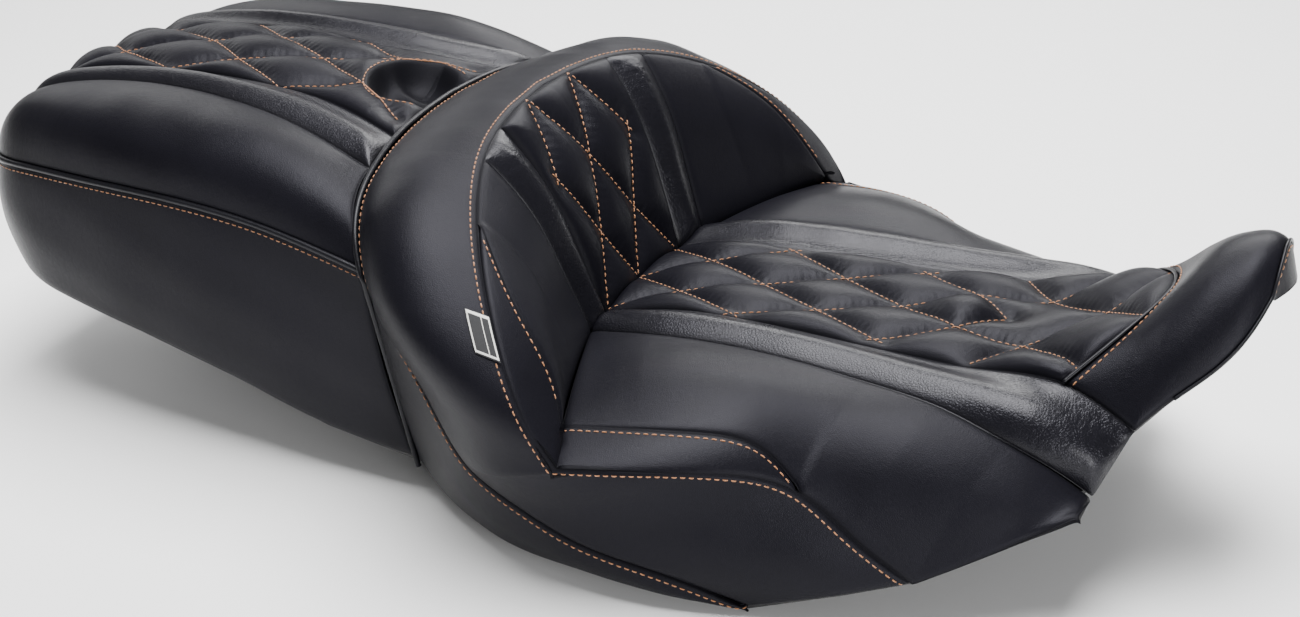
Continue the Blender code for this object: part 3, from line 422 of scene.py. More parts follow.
def leather(name, colour, roughness, grain, depth, gloss=0.085, coat=0.0, crackled=False):
    """Embossed vinyl: pebbled grain of that size in metres, soft unevenness, and seams and grooves dulled and
    darkened with painted shade.
    """
    material, tree, shader = new_material(name)
    link = tree.links.new
    where = node(tree, "ShaderNodeTexCoord").outputs["Object"]

    warp = textured(tree, "ShaderNodeTexNoise", where, Scale=0.5 / grain, Detail=2.0)
    bent = node(tree, "ShaderNodeMixRGB", blend_type="ADD", Fac=0.0012)
    link(where, bent.inputs["Color1"])
    link(warp.outputs["Color"], bent.inputs["Color2"])
    cells = textured(tree, "ShaderNodeTexVoronoi", bent.outputs["Color"], feature="DISTANCE_TO_EDGE",
                     Scale=1 / grain)
    pebbles = ramp(tree, cells.outputs["Distance"], 0.0, 1.0, 0.0, 0.28)
    wrinkles = textured(tree, "ShaderNodeTexNoise", where, Scale=0.22 / grain, Detail=3.0, Distortion=0.8)
    ridges = ramp(tree, wrinkles.outputs["Fac"], 1.0, 0.0, 0.36, 0.66)
    grain_bump = bump(tree, pebbles, 0.55, depth)
    crease_bump = bump(tree, ridges, 0.25, depth * 1.6)
    link(grain_bump.outputs["Normal"], crease_bump.inputs["Normal"])
    link(crease_bump.outputs["Normal"], shader.inputs["Normal"])
    if crackled:
        crackle = node(tree, "ShaderNodeAttribute", attribute_name="crackle")
        link(crackle.outputs["Fac"], crease_bump.inputs["Strength"])

    patches = textured(tree, "ShaderNodeTexNoise", where, Scale=9.0, Detail=5.0)
    light = tuple(c * 1.18 for c in colour)
    dark = tuple(c * 0.80 for c in colour)
    # painted shade: the seam attribute darkens the base colour to 0.42 of itself in seams and quilting
    # grooves
    seam = node(tree, "ShaderNodeAttribute", attribute_name="seam")
    shadow = node(tree, "ShaderNodeMixRGB", blend_type="MULTIPLY", Color2=(0.42, 0.42, 0.44, 1.0))
    link(seam.outputs["Fac"], shadow.inputs["Fac"])
    link(ramp(tree, patches.outputs["Fac"], dark, light, 0.30, 0.70), shadow.inputs["Color1"])
    pores = node(tree, "ShaderNodeMixRGB", blend_type="MULTIPLY", Color2=(0.72, 0.72, 0.74, 1.0))
    link(ramp(tree, pebbles, 1.0, 0.0, 0.0, 0.6), pores.inputs["Fac"])
    link(shadow.outputs["Color"], pores.inputs["Color1"])
    link(pores.outputs["Color"], shader.inputs["Base Color"])

    dulled = node(tree, "ShaderNodeMixRGB", blend_type="ADD", Color2=(0.2, 0.2, 0.2, 1.0))
    link(ramp(tree, patches.outputs["Fac"], roughness - 0.05, roughness + 0.06, 0.35, 0.65),
         dulled.inputs["Color1"])
    link(seam.outputs["Fac"], dulled.inputs["Fac"])
    link(dulled.outputs["Color"], shader.inputs["Roughness"])
    shader.inputs["Specular IOR Level"].default_value = gloss
    shader.inputs["Specular Tint"].default_value = (0.90, 0.89, 1.0, 1.0)
    shader.inputs["Coat Weight"].default_value = coat
    shader.inputs["Coat Roughness"].default_value = 0.25
    return material


def thread(name, colour):
    """Polyester thread: twisted plies as fine bands, with a painted highlight on their crowns and painted
    shade between them.
    """
    material, tree, shader = new_material(name)
    where = node(tree, "ShaderNodeTexCoord").outputs["Object"]
    twist = textured(tree, "ShaderNodeTexWave", where, wave_type="BANDS", bands_direction="DIAGONAL",
                     Scale=900.0, Distortion=1.5)
    # painted shade between the plies: the bands darken to 0.62 of the thread colour
    shade = ramp(tree, twist.outputs["Fac"], tuple(c * 0.62 for c in colour), colour, 0.2, 0.8)
    tree.links.new(shade, shader.inputs["Base Color"])
    emboss(tree, shader, twist.outputs["Fac"], 0.5, 0.0002)
    shader.inputs["Roughness"].default_value = 0.55
    shader.inputs["Sheen Weight"].default_value = 0.3
    return material


def speckled(name, colour, roughness, metallic, scale, depth, contrast=0.25):
    """Moulded or plated surface: fine uneven texture with a mottled tone."""
    material, tree, shader = new_material(name)
    where = node(tree, "ShaderNodeTexCoord").outputs["Object"]
    fine = textured(tree, "ShaderNodeTexNoise", where, Scale=scale, Detail=6.0)
    broad = textured(tree, "ShaderNodeTexNoise", where, Scale=14.0, Detail=4.0)
    dark = tuple(c * (1 - contrast) for c in colour)
    light = tuple(c * (1 + contrast) for c in colour)
    tree.links.new(ramp(tree, broad.outputs["Fac"], dark, light, 0.3, 0.7), shader.inputs["Base Color"])
    rough = ramp(tree, broad.outputs["Fac"], roughness - 0.07, roughness + 0.07, 0.3, 0.7)
    tree.links.new(rough, shader.inputs["Roughness"])
    emboss(tree, shader, fine.outputs["Fac"], 0.5, depth)
    shader.inputs["Metallic"].default_value = metallic
    return material


def woven(name, colour):
    """Label cloth: crossing yarns as two fine waves."""
    material, tree, shader = new_material(name)
    where = node(tree, "ShaderNodeTexCoord").outputs["Object"]
    cross = node(tree, "ShaderNodeMath", operation="MAXIMUM")
    for direction, socket in zip(("X", "Z"), cross.inputs):
        yarns = textured(tree, "ShaderNodeTexWave", where, wave_type="BANDS", bands_direction=direction,
                         Scale=620.0)
        tree.links.new(yarns.outputs["Fac"], socket)
    shade = ramp(tree, cross.outputs["Value"], tuple(c * 0.55 for c in colour), colour, 0.2, 0.9)
    tree.links.new(shade, shader.inputs["Base Color"])
    emboss(tree, shader, cross.outputs["Value"], 0.6, 0.0002)
    shader.inputs["Roughness"].default_value = 0.85
    return material


MATERIALS = {
    "satin_vinyl": leather("satin_vinyl", (0.0054, 0.0052, 0.0073), 0.36, 0.0011, 0.00009),
    "quilt_vinyl": leather("quilt_vinyl", (0.0054, 0.0052, 0.0073), 0.36, 0.0011, 0.00009),
    "gloss_vinyl": leather("gloss_vinyl", (0.0050, 0.0048, 0.0068), 0.29, 0.0019, 0.00020, gloss=0.16,
                           coat=0.15, crackled=True),
    "welt_vinyl": leather("welt_vinyl", (0.0060, 0.0060, 0.0075), 0.34, 0.0009, 0.00008, coat=0.2),
    "thread": thread("orange_thread", (0.34, 0.13, 0.036)),
    "pan_plastic": speckled("pan_plastic", (0.016, 0.016, 0.017), 0.50, 0.0, 900.0, 0.0002),
    "bumper_rubber": speckled("bumper_rubber", (0.013, 0.013, 0.013), 0.80, 0.0, 600.0, 0.0002),
    "zinc_steel": speckled("zinc_steel", (0.52, 0.53, 0.55), 0.36, 1.0, 350.0, 0.00006, 0.12),
    "label_cloth": woven("label_cloth", (0.016, 0.016, 0.018)),
    "label_border": woven("label_border", (0.72, 0.71, 0.68)),
}


def add_object(name, data):
    made = bpy.data.objects.new(name, data)
    bpy.context.scene.collection.objects.link(made)
    return made


def add_piece(name, vertices, faces, slots, replaced=(), face_material=None, attributes=None):
    """A mesh piece on the seat's only body, from vertices in mm in the design frame."""
    mesh = bpy.data.meshes.new(name)
    mesh.from_pydata(place(vertices).tolist(), [], faces)
    for material in slots:
        mesh.materials.append(MATERIALS[material])
    if face_material is not None:
        mesh.polygons.foreach_set("material_index", face_material)
    for key, values in (attributes or {}).items():
        layer = mesh.attributes.new(key, "FLOAT", "POINT")
        layer.data.foreach_set("value", np.asarray(values, np.float32))
    mesh.shade_smooth()
    piece = add_object(name, mesh)
    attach(piece, "root")
    if replaced:
        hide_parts(*replaced)


def grid_faces(rows, columns, start=0):
    index = np.arange(rows * columns).reshape(rows, columns) + start
    corners = [index[:-1, :-1], index[1:, :-1], index[1:, 1:], index[:-1, 1:]]
    return np.stack([corner.ravel() for corner in corners], axis=1)


def tube_faces(sections, sides):
    """Faces of a closed tube of rings, with a cap at each end."""
    index = np.arange(sections * sides).reshape(sections, sides)
    after = np.roll(index, -1, axis=1)
    wall = np.stack([index[:-1], after[:-1], after[1:], index[1:]], axis=-1).reshape(-1, 4)
    return wall.tolist() + [index[0, ::-1].tolist(), index[-1].tolist()]


def sheet_faces(rows, columns):
    """Faces of a closed sheet: its outer grid, its inner grid and the wall round their border."""
    size = rows * columns
    index = np.arange(size).reshape(rows, columns)
    loop = np.r_[index[0, :-1], index[:-1, -1], index[-1, :0:-1], index[:0:-1, 0]]
    after = np.roll(loop, -1)
    wall = np.stack([loop, loop + size, after + size, after], axis=1)
    return np.concatenate([grid_faces(rows, columns), grid_faces(rows, columns, size)[:, ::-1], wall])


class Panel:
    """A shaped cover panel: its outer face as a grid, with the normals of the patch it started from."""

    def __init__(self, name, grid, outward, material, step=SMOOTH_STEP, crown=1.5, unevenness=0.35,
                 relief=None, **edges):
        for side, kind in edges.items():
            if kind == "tuck":
                grid = reaching(grid, side)
        grid = resampled(grid, step)
        self.name = name
        self.material = material
        self.normal = grid_normals(grid, outward)
        self.base = grid
        distances = border_distances(grid)
        lift = np.zeros(grid.shape[:2])
        shut = np.full(grid.shape[:2], np.inf)
        for side, kind in edges.items():
            depth, radius = EDGES[kind]
            lift -= rolled(distances[side], depth, radius)
            shut = np.minimum(shut, distances[side] * (HEM_OPEN if kind == "hem" else 1.0))
        across = np.minimum(distances["first_column"], distances["last_column"])
        along = np.minimum(distances["first_row"], distances["last_row"])
        lift += crown * (1 - np.exp(-across / CROWN_REACH)) * (1 - np.exp(-along / CROWN_REACH))
        inside = 1 - np.exp(-shut / UNEVEN_REACH)
        lift += unevenness * inside * waves(grid, (70.0, 38.0), sum(map(ord, name)))
        # painted shade next to seams and hems, read by the material as the seam attribute
        self.seam = np.exp(-((shut / SEAM_SHADE) ** 2))
        self.distances = distances
        if relief is not None:
            height, groove = relief(grid, distances)
            lift += height * (1 - np.exp(-shut / RELIEF_REACH))
            # painted shade along the quilting grooves too
            self.seam = np.maximum(self.seam, 0.8 * np.exp(-((groove / GROOVE_SHADE) ** 2)))
        self.grid = grid + lift[..., None] * self.normal

    def crackle(self):
        """Strength of the crackled grain, which is heaviest at one end of a glossy strip."""
        strip = self.name.rsplit("_", 1)[0]
        ends = {"seat_strip": "last_row", "backrest_strip": "first_column"}
        distance = self.distances[ends.get(strip, "first_row")]
        heavy = 0.75 * np.exp(-((distance / 62.0) ** 2)) * (strip == "seat_strip")
        return 0.12 + heavy + 0.3 * np.exp(-distance / 20.0)

    def build(self, replaced=()):
        outer = self.grid.reshape(-1, 3)
        inner = (self.grid - COVER * self.normal).reshape(-1, 3)
        faces = sheet_faces(*self.grid.shape[:2])
        turning = np.cross(np.gradient(self.grid, axis=0), np.gradient(self.grid, axis=1))
        if (turning * self.normal).sum() < 0:
            faces = faces[:, ::-1]
        # seam carries the painted seam and groove shade; crackle the strength of the grain's creases
        attributes = {"seam": np.tile(self.seam.ravel(), 2), "crackle": np.tile(self.crackle().ravel(), 2)}
        add_piece(self.name + "_cover", np.concatenate([outer, inner]), faces.tolist(), [self.material],
                  (self.name, *replaced), attributes=attributes)

    def inset_line(self, side, inset):
        """The points of the outer face at a distance from a border, with their normals."""
        distance, grid, normal = self.distances[side], self.grid, self.normal
        if "row" in side:
            distance, grid, normal = distance.T, grid.transpose(1, 0, 2), normal.transpose(1, 0, 2)
        points, normals = [], []
        for row, line, ways in zip(distance, grid, normal):
            if row.max() < 1.6 * inset:
                continue
            order = np.argsort(row)
            points.append(read_along(row[order], line[order], inset))
            normals.append(read_along(row[order], ways[order], inset))
        return np.array(points), np.array(normals)

    def surface_line(self, plan, line):
        """A plan line laid on the outer face; plan gives the two plan coordinates of every point."""
        flat = plan.reshape(-1, 2)
        points, normals = [], []
        for target in course(line, 1.0):
            gap = np.linalg.norm(flat - target, axis=1)
            near = np.argpartition(gap, 4)[:4]
            if gap[near].min() > 4.0:
                continue
            weight = 1 / (gap[near] + 0.05)
            weight /= weight.sum()
            points.append(weight @ self.grid.reshape(-1, 3)[near])
            normals.append(weight @ self.normal.reshape(-1, 3)[near])
        return np.array(points), np.array(normals)


STRAND = [  # share of the length, rise and thickness of each section of a stitch
    (-0.04, -0.9, 0.55), (0.06, 0.15, 0.85), (0.3, 0.6, 1.0),
    (0.7, 0.6, 1.0), (0.94, 0.15, 0.85), (1.04, -0.9, 0.55),
]


def stitch(start, end, normal):
    """One stitch: a strand that comes out of the cover, lies on it and goes back in."""
    way = unit(end - start)
    side = unit(np.cross(way, normal))
    up = np.cross(side, way)
    turn = np.linspace(0, 2 * math.pi, 9)[:-1]
    ring = np.cos(turn)[:, None] * side + 0.8 * np.sin(turn)[:, None] * up
    return np.array([start + (end - start) * at + STITCH_RADIUS * (up * rise + ring * share)
                     for at, rise, share in STRAND])


def stitch_run(line):
    """Stitches of one length along a line of points and normals; none on a line shorter than a stitch."""
    points, normals = line
    if len(points) < 2:
        return []
    run = arc_length(points)
    sewn = run[-1] - 2 * STITCH_MARGIN
    count = int(sewn / STITCH_PITCH)
    strands = []
    for i in range(count):
        middle = STITCH_MARGIN + (i + 0.5) * sewn / count
        ends = [middle - STITCH_LENGTH / 2, middle + STITCH_LENGTH / 2]
        strands.append(stitch(*read_along(run, points, ends), unit(read_along(run, normals, middle))))
    return strands


def sew(name, lines):
    """All stitches of a group of lines as one piece of thread."""
    strands = [strand for line in lines for strand in stitch_run(line)]
    vertices = np.concatenate([strand.reshape(-1, 3) for strand in strands])
    sections, sides = strands[0].shape[:2]
    faces = tube_faces(sections, sides)
    starts = range(0, len(vertices), sections * sides)
    add_piece(name, vertices, [[start + i for i in face] for start in starts for face in faces], ["thread"])


def piping(name, points, radius, replaced=()):
    """Round cord in a vinyl strip, sewn into a seam; its ends dive under the cover."""
    run = arc_length(points)
    even = np.linspace(0, run[-1], int(run[-1] / PIPING_STEP) + 1)
    line = read_along(run, points, even)
    way = unit(np.gradient(line, axis=0))
    side = unit(np.cross(way, (0.02, 0.01, 1.0)))
    up = np.cross(side, way)
    turn = np.linspace(0, 2 * math.pi, PIPING_SIDES + 1)[:-1]
    uneven = 1 + 0.05 * waves(line, (23.0, 9.0), len(name))
    ring = np.cos(turn)[None, :, None] * side[:, None] + np.sin(turn)[None, :, None] * up[:, None]
    body = line[:, None] + radius * uneven[:, None, None] * ring
    add_piece(name, body.reshape(-1, 3), tube_faces(*body.shape[:2]), ["welt_vinyl"], replaced)


# --- Passenger seat ---
PASSENGER_COLUMNS = [FINE, FINE, FINE, 2 * FINE, 2 * FINE]  # between the rails, from the piping to the middle


def strip_relief(ridge, sharpness, height, creased=0.0, flat_end=0.0):
    """A strip is one soft roll: the ridge is its crest's share of the width, from the first column."""
    def relief(grid, distances):
        width = distances["first_column"][:, -1:]
        share = distances["first_column"] / np.maximum(width, 1e-6)
        roll = np.exp(-np.abs((share - ridge) / sharpness) ** 2.2)
        creases = waves(grid * (1.0, 1.0, 0.5), (31.0, 17.0, 9.0), 3)
        far_end = np.exp(-distances["last_row"] / 30.0)
        roll = roll * (1 - flat_end * np.exp(-((distances["last_row"] / REAR_FLAT) ** 2)))
        return height * roll + (0.03 + creased * far_end) * creases, np.full(grid.shape[:2], np.inf)
    return relief


def recess_distance(places):
    """Signed distance in plan from the horseshoe's seam, negative inside."""
    widest, half = RECESS_WIDEST
    length = widest - RECESS_APEX_X
    x, y = places[..., 0] - widest, np.abs(places[..., 1])
    round_part = (np.hypot(np.minimum(x, 0) / length, y / half) - 1) * min(length, half)
    run = RECESS_MOUTH[0] - widest
    taper = half + (RECESS_MOUTH[1] - half) * np.clip(x, 0, run) / run
    return np.where(x < 0, round_part, y - taper)


def passenger_relief(grid, distances):
    plan = grid[..., :2]
    height, groove = quilted(plan, PASSENGER_LINES, 8.0)
    height *= 1 - np.exp(-((distances["last_row"] / REAR_FLAT) ** 2))
    edge = recess_distance(plan)
    outside = np.clip(edge, 0, None)
    height *= 1 - np.exp(-((outside / 9.0) ** 1.2))
    height += 4.0 * np.exp(-((edge / 16.0) ** 2))
    dish = 1 - np.exp(-((np.clip(-edge, 0, None) / 8.0) ** 1.6))
    fold = np.exp(-((plan[..., 1] + 0.35 * (plan[..., 0] + 166)) / 9.0) ** 2)
    height -= dish * (RECESS_DEPTH - RECESS_FOLD * fold)
    groove = np.where(edge < 0, 0.0, np.minimum(groove, edge))
    return height, groove


def build_passenger_top(top):
    """The five panels of the top; returns the quilted one."""
    sewn = dict(first_row="welt", last_row="welt", first_column="seam", last_column="seam")
    edges = np.cumsum([0, *PASSENGER_COLUMNS, *PASSENGER_COLUMNS[::-1]])
    quilt = None
    for name, first, last in (("passenger_side_top_right", 0, 3), ("passenger_strip_right", 3, 4),
                              ("passenger_quilt", 4, 6), ("passenger_strip_left", 6, 7),
                              ("passenger_side_top_left", 7, 10)):
        patch = top[:, edges[first] : edges[last] + 1]
        if name == "passenger_quilt":
            quilt = Panel(name, patch, UP, "quilt_vinyl", relief=passenger_relief, **SHAPED, **sewn)
            quilt.build(("passenger_foam", "passenger_recess"))
        elif "strip" in name:
            ridge = 0.36 if name.endswith("right") else 0.64
            relief = strip_relief(ridge, 0.38, 7.5, flat_end=0.85)
            Panel(name, patch, UP, "gloss_vinyl", relief=relief, **SHAPED, **sewn).build()
        else:
            outer = "first_column" if name.endswith("right") else "last_column"
            around = {**sewn, outer: "welt"}
            Panel(name, patch, UP, "satin_vinyl", crown=3.0, unevenness=0.6, **around).build()
    return quilt


def build_passenger_side(top):
    """The side band from the piping down to its hem, and the piping; returns the band."""
    welt = np.concatenate([top[:, 0], top[-1, 1:-1], top[::-1, -1]])
    columns = np.cumsum([0, *PASSENGER_COLUMNS])
    rear = read_along(columns, [PASSENGER_HEM[-1], *PASSENGER_REAR_HEM], np.arange(1, columns[-1] + 1))
    hem = over_the_middle(np.concatenate([rail(PASSENGER_HEM), rear]))
    outward = unit(np.cross(np.gradient(welt, axis=0), UP))
    if outward[0, 1] > 0:
        outward = -outward
    patch = loft([welt, (welt + hem) / 2 + 6 * outward, hem], [24, 24])
    centre = patch.mean(axis=(0, 1))
    band = Panel("passenger_side_band", patch, lambda grid: grid - centre, "satin_vinyl", crown=1.5,
                 unevenness=0.8, first_row="welt", last_row="welt", first_column="welt", last_column="hem")
    band.build()
    away = unit((patch[:, 0] - centre) * (1, 1, 0))
    piping("passenger_piping", patch[:, 0] + 1.2 * away, PIPING, ("passenger_welt",))
    return band


def recess_stitches():
    """The stitch line round the horseshoe, 2 mm outside its seam."""
    x, half_width = RECESS_WIDEST
    length = x - RECESS_APEX_X + 2
    turn = np.linspace(-math.pi / 2, math.pi / 2, 25)
    horseshoe = [(x - length * math.cos(t), (half_width + 2) * math.sin(t)) for t in turn]
    mouth_x, mouth = RECESS_MOUTH[0] + 4, RECESS_MOUTH[1] + 2
    return [(mouth_x, -mouth), *horseshoe, (mouth_x, mouth)]


def build_passenger():
    half = [PASSENGER_WELT, PASSENGER_SHOULDER, PASSENGER_CROWN, PASSENGER_STRIP_OUTER,
            PASSENGER_STRIP_INNER, PASSENGER_MIDDLE]
    top = symmetric_loft([rail(points) for points in half], PASSENGER_COLUMNS)
    quilt = build_passenger_top(top)
    band = build_passenger_side(top)
    plan = quilt.base[..., :2]
    lines = []
    for line in both_sides(PASSENGER_LINES):
        points, normals = quilt.surface_line(plan, line)
        keep = recess_distance(points[:, :2]) > 1.0
        if keep.sum() > 6:
            lines.append((points[keep], normals[keep]))
    lines.append(quilt.surface_line(plan, recess_stitches()))
    sew("passenger_quilt_stitching", lines)
    sew("passenger_side_stitching", [band.inset_line("first_column", 5.5)])


# --- Bolster ---
def inner_seam(steps=FINE):
    """Side seam and backrest seam, two smooth curves that meet in a corner."""
    side = rail(BAND_INNER[: BAND_CORNER + 1], steps)
    return np.concatenate([side, rail(BAND_INNER[BAND_CORNER:], steps)[1:]])


def band_patch(steps=FINE, across=16):
    outer, inner = rail(BAND_OUTER, steps), inner_seam(steps)
    bulge = rail(BAND_BULGE, steps)
    low = outer * 2 / 3 + inner / 3 + bulge * 0.95
    high = outer / 3 + inner * 2 / 3 + bulge * 0.95
    return loft([over_the_middle(part) for part in (outer, low, high, inner)], [across] * 3)


def off_bolster(grid):
    """Outward directions all round the bolster, from a line through its middle."""
    return (grid - (0.0, 0.0, 60.0)) * (0, 1, 1)


def build_bolster():
    patch = band_patch()
    band = Panel("bolster_band", patch, off_bolster, "satin_vinyl", crown=2.0, unevenness=0.8,
                 **{**SEWN, "first_row": "hem", "last_row": "hem"})
    band.build(("bolster_foam",))

    rear = SKIRT_TOP * FINE
    hem = rail(SKIRT_HEM)
    rear_edge = np.linspace(patch[rear, 0], hem[-1], 3 * FINE)[1:] + (-1.0, -1.6, 0)
    raised = patch[:, 0] + 1.6 * grid_normals(patch, off_bolster)[:, 0] + (-1.0, 0, 0)
    whole = np.concatenate([rear_edge[::-1], raised[rear:-rear], mirrored(rear_edge)])
    piping("bolster_piping", whole, PIPING, ("bolster_rear_welt",))

    seam = patch[: rear + 1, 0]
    skirt = loft([seam, (hem + seam) / 2 + (0, -3, 0), hem], [16, 16])
    edges = dict(first_row="hem", last_row="welt", first_column="seam", last_column="hem")
    seams = []
    for side, mirror, sign in SIDES:
        panel = Panel(f"skirt_{side}", mirror(skirt), (0, sign, 0), "satin_vinyl", crown=1.0, **edges)
        panel.build()
        seams.append(panel.inset_line("first_column", 4.0))
    sew("skirt_stitching", seams)

    line, normals = band.inset_line("first_column", 6.0)
    behind = (line[:, 0] < -45.0) & (line[:, 2] > 95.0)
    sew("bolster_rear_stitching", [(line[behind], normals[behind])])
    sew("bolster_front_stitching", [band.inset_line("last_column", 5.5)])


def backrest_plan(grid):
    """Height over the crease and y, the coordinates of the backrest's quilting."""
    return np.stack([grid[..., 2] - CREASE[-1][2], grid[..., 1]], axis=-1)


def backrest_relief(grid, distances):
    return quilted(backrest_plan(grid), BACKREST_LINES, 8.0)


def build_backrest():
    inner = inner_seam()[BAND_CORNER * FINE :]
    top = inner.copy()
    sliver_seam = rail(SLIVER_SEAM)
    top[: len(sliver_seam)] = sliver_seam
    crease, bulge = rail(CREASE), rail(BACKREST_BULGE)
    crease[: 3 * FINE + 1] = along_axis(crease, 0, np.linspace(SLIVER_FOOT * FINE, 3 * FINE, 3 * FINE + 1))
    upper = top * 2 / 3 + crease / 3 + bulge
    lower = top / 3 + crease * 2 / 3 + bulge * 0.6
    face = loft([over_the_middle(part) for part in (top, upper, lower, crease)], [12, 24, 12])
    forward = (1, 0, 0.3)
    edges = {**SEWN, "last_column": "tuck"}
    for name, first, last in (("backrest_side_right", 0, 4), ("backrest_strip_right", 4, 5),
                              ("backrest_quilt", 5, 7), ("backrest_strip_left", 7, 8),
                              ("backrest_side_left", 8, 12)):
        patch = face[first * FINE : last * FINE + 1]
        if name == "backrest_quilt":
            quilt = Panel(name, patch, forward, "quilt_vinyl", relief=backrest_relief, **SHAPED, **edges)
            quilt.build()
        elif "strip" in name:
            Panel(name, patch, forward, "gloss_vinyl", relief=row_roll(6.5), **SHAPED, **edges).build()
        else:
            Panel(name, patch, forward, "satin_vinyl", crown=3.0, unevenness=0.5, **edges).build()
    plan = backrest_plan(quilt.base)
    sew("backrest_quilt_stitching", [quilt.surface_line(plan, line) for line in both_sides(BACKREST_LINES)])

    strip = loft([inner[: len(sliver_seam)], sliver_seam], [12])
    lines = []
    for side, mirror, _ in SIDES:
        panel = Panel(f"backrest_sliver_{side}", mirror(strip), forward, "satin_vinyl", crown=1.0,
                      step=QUILT_STEP, first_row="tuck", first_column="seam", last_column="seam")
        panel.build()
        points, normals = panel.inset_line("last_column", 4.0)
        above_foot = len(points) // 7
        lines.append((points[above_foot:], normals[above_foot:]))
    sew("backrest_sliver_stitching", lines)


def row_roll(height):
    """Roll of a strip whose seams are its first and last rows, with creases pressed in at its top end."""
    def relief(grid, distances):
        width = distances["first_row"][-1:]
        share = distances["first_row"] / np.maximum(width, 1e-6)
        roll = np.exp(-np.abs((share - 0.5) / 0.42) ** 2.2)
        top_end = np.exp(-distances["first_column"] / 26.0)
        creases = waves(grid * (1.0, 1.0, 1.6), (14.0, 8.0, 5.5), 5)
        return height * roll + (0.1 + 0.7 * top_end) * creases, np.full(grid.shape[:2], np.inf)
    return relief


# --- Rider's seat ---
def seat_relief(grid, distances):
    height, groove = quilted(grid[..., :2], SEAT_LINES, 9.0)
    swell = np.exp(-(((grid[..., 0] - 243.0) / 26.0) ** 2) - (grid[..., 1] / 52.0) ** 2)
    return height + 7.5 * swell, groove


def build_rider():
    inner, outer = rail(STRIP_INNER), rail(STRIP_OUTER)
    patch = symmetric_loft([inner[: 6 * FINE + 1], rail(SEAT_QUARTER), rail(SEAT_MIDDLE)], [24, 24])
    quilt = Panel("seat_quilt", patch, UP, "quilt_vinyl", relief=seat_relief, **SHAPED, **TUCKED)
    quilt.build(("rider_foam",))
    plan = quilt.base[..., :2]
    sew("seat_quilt_stitching", [quilt.surface_line(plan, line) for line in both_sides(SEAT_LINES)])

    strip = loft([outer, inner], [24])
    seam = inner_seam()
    thigh_edge = np.concatenate([rail(INSERT_TOP)[:-1], seam[: 2 * FINE + 1][::-1], rail(THIGH_HEM)[1:]])
    lift = np.interp(np.arange(len(outer)), np.arange(len(THIGH_BULGE)) * FINE, THIGH_BULGE)
    upward = np.stack([0 * lift, -0.5 * lift, lift], axis=1)
    thigh = loft([outer, (outer + thigh_edge) / 2 + upward, thigh_edge], [30, 30])
    insert_top, insert_low = (along_axis(edge, 0, np.linspace(0, len(edge) - 1, 4 * FINE + 1))
                              for edge in (rail(INSERT_TOP, 2 * FINE), seam[2 * FINE : 4 * FINE + 1][::-1]))
    bulge = np.outer(np.sqrt(np.linspace(1, 0, len(insert_top))), (0, -3, 0))
    insert = loft([insert_top, (insert_top + insert_low) / 2 + bulge, insert_low], [14, 14])
    insert_lines = []
    for side, mirror, sign in SIDES:
        Panel(f"seat_strip_{side}", mirror(strip), UP, "gloss_vinyl",
              relief=strip_relief(0.36, 0.36, 8.5, creased=0.35), **SHAPED, **TUCKED).build()
        Panel(f"thigh_panel_{side}", mirror(thigh), UP, "satin_vinyl", crown=1.5, unevenness=0.5,
              **TUCKED).build()
        outward = (0, sign, 0.5)
        panel = Panel(f"thigh_insert_{side}", mirror(insert), outward, "satin_vinyl", crown=1.2, **TUCKED)
        panel.build()
        insert_lines.append(panel.inset_line("first_column", 4.5))
    sew("thigh_insert_stitching", insert_lines)
    return patch


def build_nose(quilt_patch):
    edge = np.concatenate([rail(STRIP_INNER)[6 * FINE :], rail([STRIP_INNER[-1], *NOSE_EDGE])[1:]])
    patch = symmetric_loft([edge, rail(NOSE_QUARTER), rail(NOSE_MIDDLE)], [24, 24])
    patch[0] = quilt_patch[-1]
    nose = Panel("nose_panel", patch, UP, "satin_vinyl", step=QUILT_STEP, crown=3.0, unevenness=0.4, **SEWN)
    nose.build(("nose_foam",))
    piping("nose_seam_piping", patch[0] + (-0.3, 0, 0.4), NOSE_SEAM_PIPING, ("nose_seam_welt",))
    low = 3 * FINE
    edge = np.concatenate([patch[low:, 0], patch[-1, 1:-1], patch[: low - 1 : -1, -1]])
    piping("nose_edge_piping", edge, NOSE_EDGE_PIPING)
    sew("nose_stitching", [nose.inset_line("first_row", 5.0)])
    end_hem = over_the_middle(rail(NOSE_END_HEM))
    seam = patch[-1]
    hem = read_along(end_hem[:, 1], end_hem, seam[:, 1])
    end = Panel("nose_end_panel", loft([seam, hem], [10]), (1, 0, 0), "satin_vinyl", step=QUILT_STEP,
                crown=0.5, first_column="seam")
    end.build()
    sew("nose_end_stitching", [end.inset_line("first_column", 4.0)])


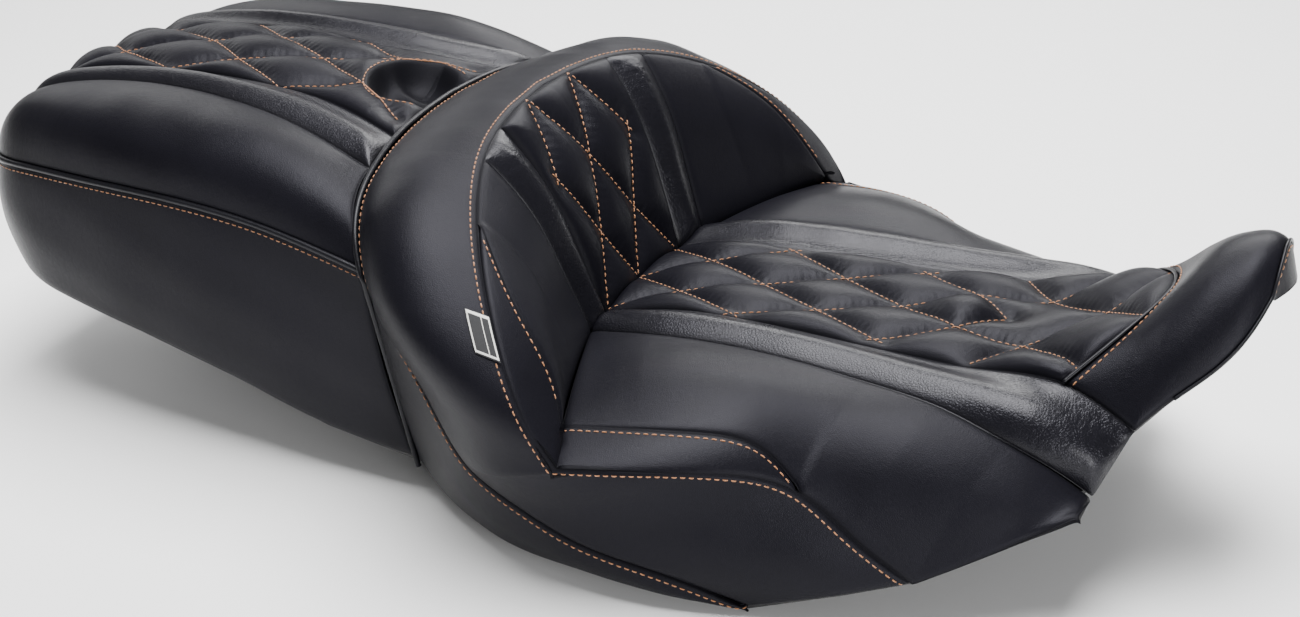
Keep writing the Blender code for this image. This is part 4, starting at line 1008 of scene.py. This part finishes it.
# --- Label ---
def build_label():
    """Plain woven label with a pale border, sewn flat on the bolster at the backrest seam."""
    fine, count = 10, 31
    patch = band_patch(CAD_STEPS * fine, 2 * fine)
    rows = np.linspace(*LABEL_ROWS, count) * fine
    columns = np.linspace(*LABEL_COLUMNS, count) * fine
    normal = grid_normals(patch, off_bolster)
    raised = along_axis(along_axis(patch + LABEL_RAISED * normal, 0, rows), 1, columns)
    normal = along_axis(along_axis(normal, 0, rows), 1, columns)
    u, v = np.meshgrid(np.linspace(0, 1, count), np.linspace(0, 1, count), indexing="ij")
    edge = np.minimum(np.minimum(u, 1 - u), np.minimum(v, 1 - v))
    raised = raised - (LABEL_TUCK * np.exp(-edge / LABEL_BORDER[0]))[..., None] * normal
    back = raised - LABEL_THICKNESS * normal
    faces = sheet_faces(*u.shape)
    front = grid_faces(*u.shape)
    margin = edge.ravel()[front].mean(axis=1)
    from_bar = np.abs(v.ravel()[front].mean(axis=1) - LABEL_BAR[0])
    pale = (margin > LABEL_BORDER[0]) & ((margin < LABEL_BORDER[1]) | (from_bar < LABEL_BAR[1]))
    materials = np.zeros(len(faces), int)
    materials[: len(front)] = pale
    vertices = np.concatenate([raised.reshape(-1, 3), back.reshape(-1, 3)])
    add_piece("side_label_cloth", vertices, faces.tolist(), ["label_cloth", "label_border"], ("side_label",),
              face_material=materials)


# --- Room ---
def build_room():
    """Pale floor, a large overhead softbox, two soft lights behind, a low one in front and a pale world."""
    size = 6.0
    mesh = bpy.data.meshes.new("floor")
    mesh.from_pydata([(-size, -size, 0), (size, -size, 0), (size, size, 0), (-size, size, 0)], [],
                     [(0, 1, 2, 3)])
    floor = add_object("floor", mesh)
    material, tree, shader = new_material("pale_floor")
    shader.inputs["Base Color"].default_value = (0.90, 0.90, 0.90, 1.0)
    shader.inputs["Roughness"].default_value = 0.9
    mesh.materials.append(material)

    world = bpy.data.worlds.new("studio")
    bpy.context.scene.world = world
    world.use_nodes = True
    background = world.node_tree.nodes["Background"]
    background.inputs["Color"].default_value = (1.0, 1.0, 1.0, 1.0)
    background.inputs["Strength"].default_value = 0.24

    for name, position, target, power, extent in (
            ("overhead", (0.0, 0.0, 1.9), (0.0, 0.0, 0.1), 130.0, (1.9, 1.2)),
            ("back", (-0.2, 1.8, 1.3), (0.1, 0.0, 0.15), 32.0, (1.4, 0.9)),
            ("back_left", (-1.8, 1.3, 1.1), (-0.3, 0.0, 0.15), 11.0, (1.4, 1.1)),
            ("front_fill", (1.7, -1.45, 0.45), (0.2, 0.0, 0.1), 36.0, (1.1, 0.7))):
        data = bpy.data.lights.new(name, "AREA")
        data.shape = "RECTANGLE"
        data.size, data.size_y = extent
        data.energy = power
        light = add_object(name, data)
        light.location = position
        way = np.array(target) - np.array(position)
        flat = math.hypot(way[0], way[1])
        light.rotation_euler = (math.atan2(flat, -way[2]), 0, math.atan2(way[1], way[0]) - math.pi / 2)


def build_camera():
    data = bpy.data.cameras.new("camera")
    data.sensor_width = 36.0
    data.lens = 58.73
    camera = add_object("camera", data)
    camera.location = (0.57872, -1.22112, 0.70361)
    camera.rotation_euler = (math.radians(65.3), 0, math.radians(24.4))
    bpy.context.scene.camera = camera


def finish_cad_nodes():
    """The hard pieces keep their CAD shape and get their materials here."""
    slots = {entry["node"]: entry["material_slot"] for entry in frame["record"]["subparts"]}
    for name, piece in frame["nodes"].items():
        if slots[name] in MATERIALS and not piece.hide_render:
            piece.data.materials.clear()
            piece.data.materials.append(MATERIALS[slots[name]])


build_camera()
build_room()
build_passenger()
build_bolster()
build_backrest()
seat_patch = build_rider()
build_nose(seat_patch)
build_label()
finish_cad_nodes()
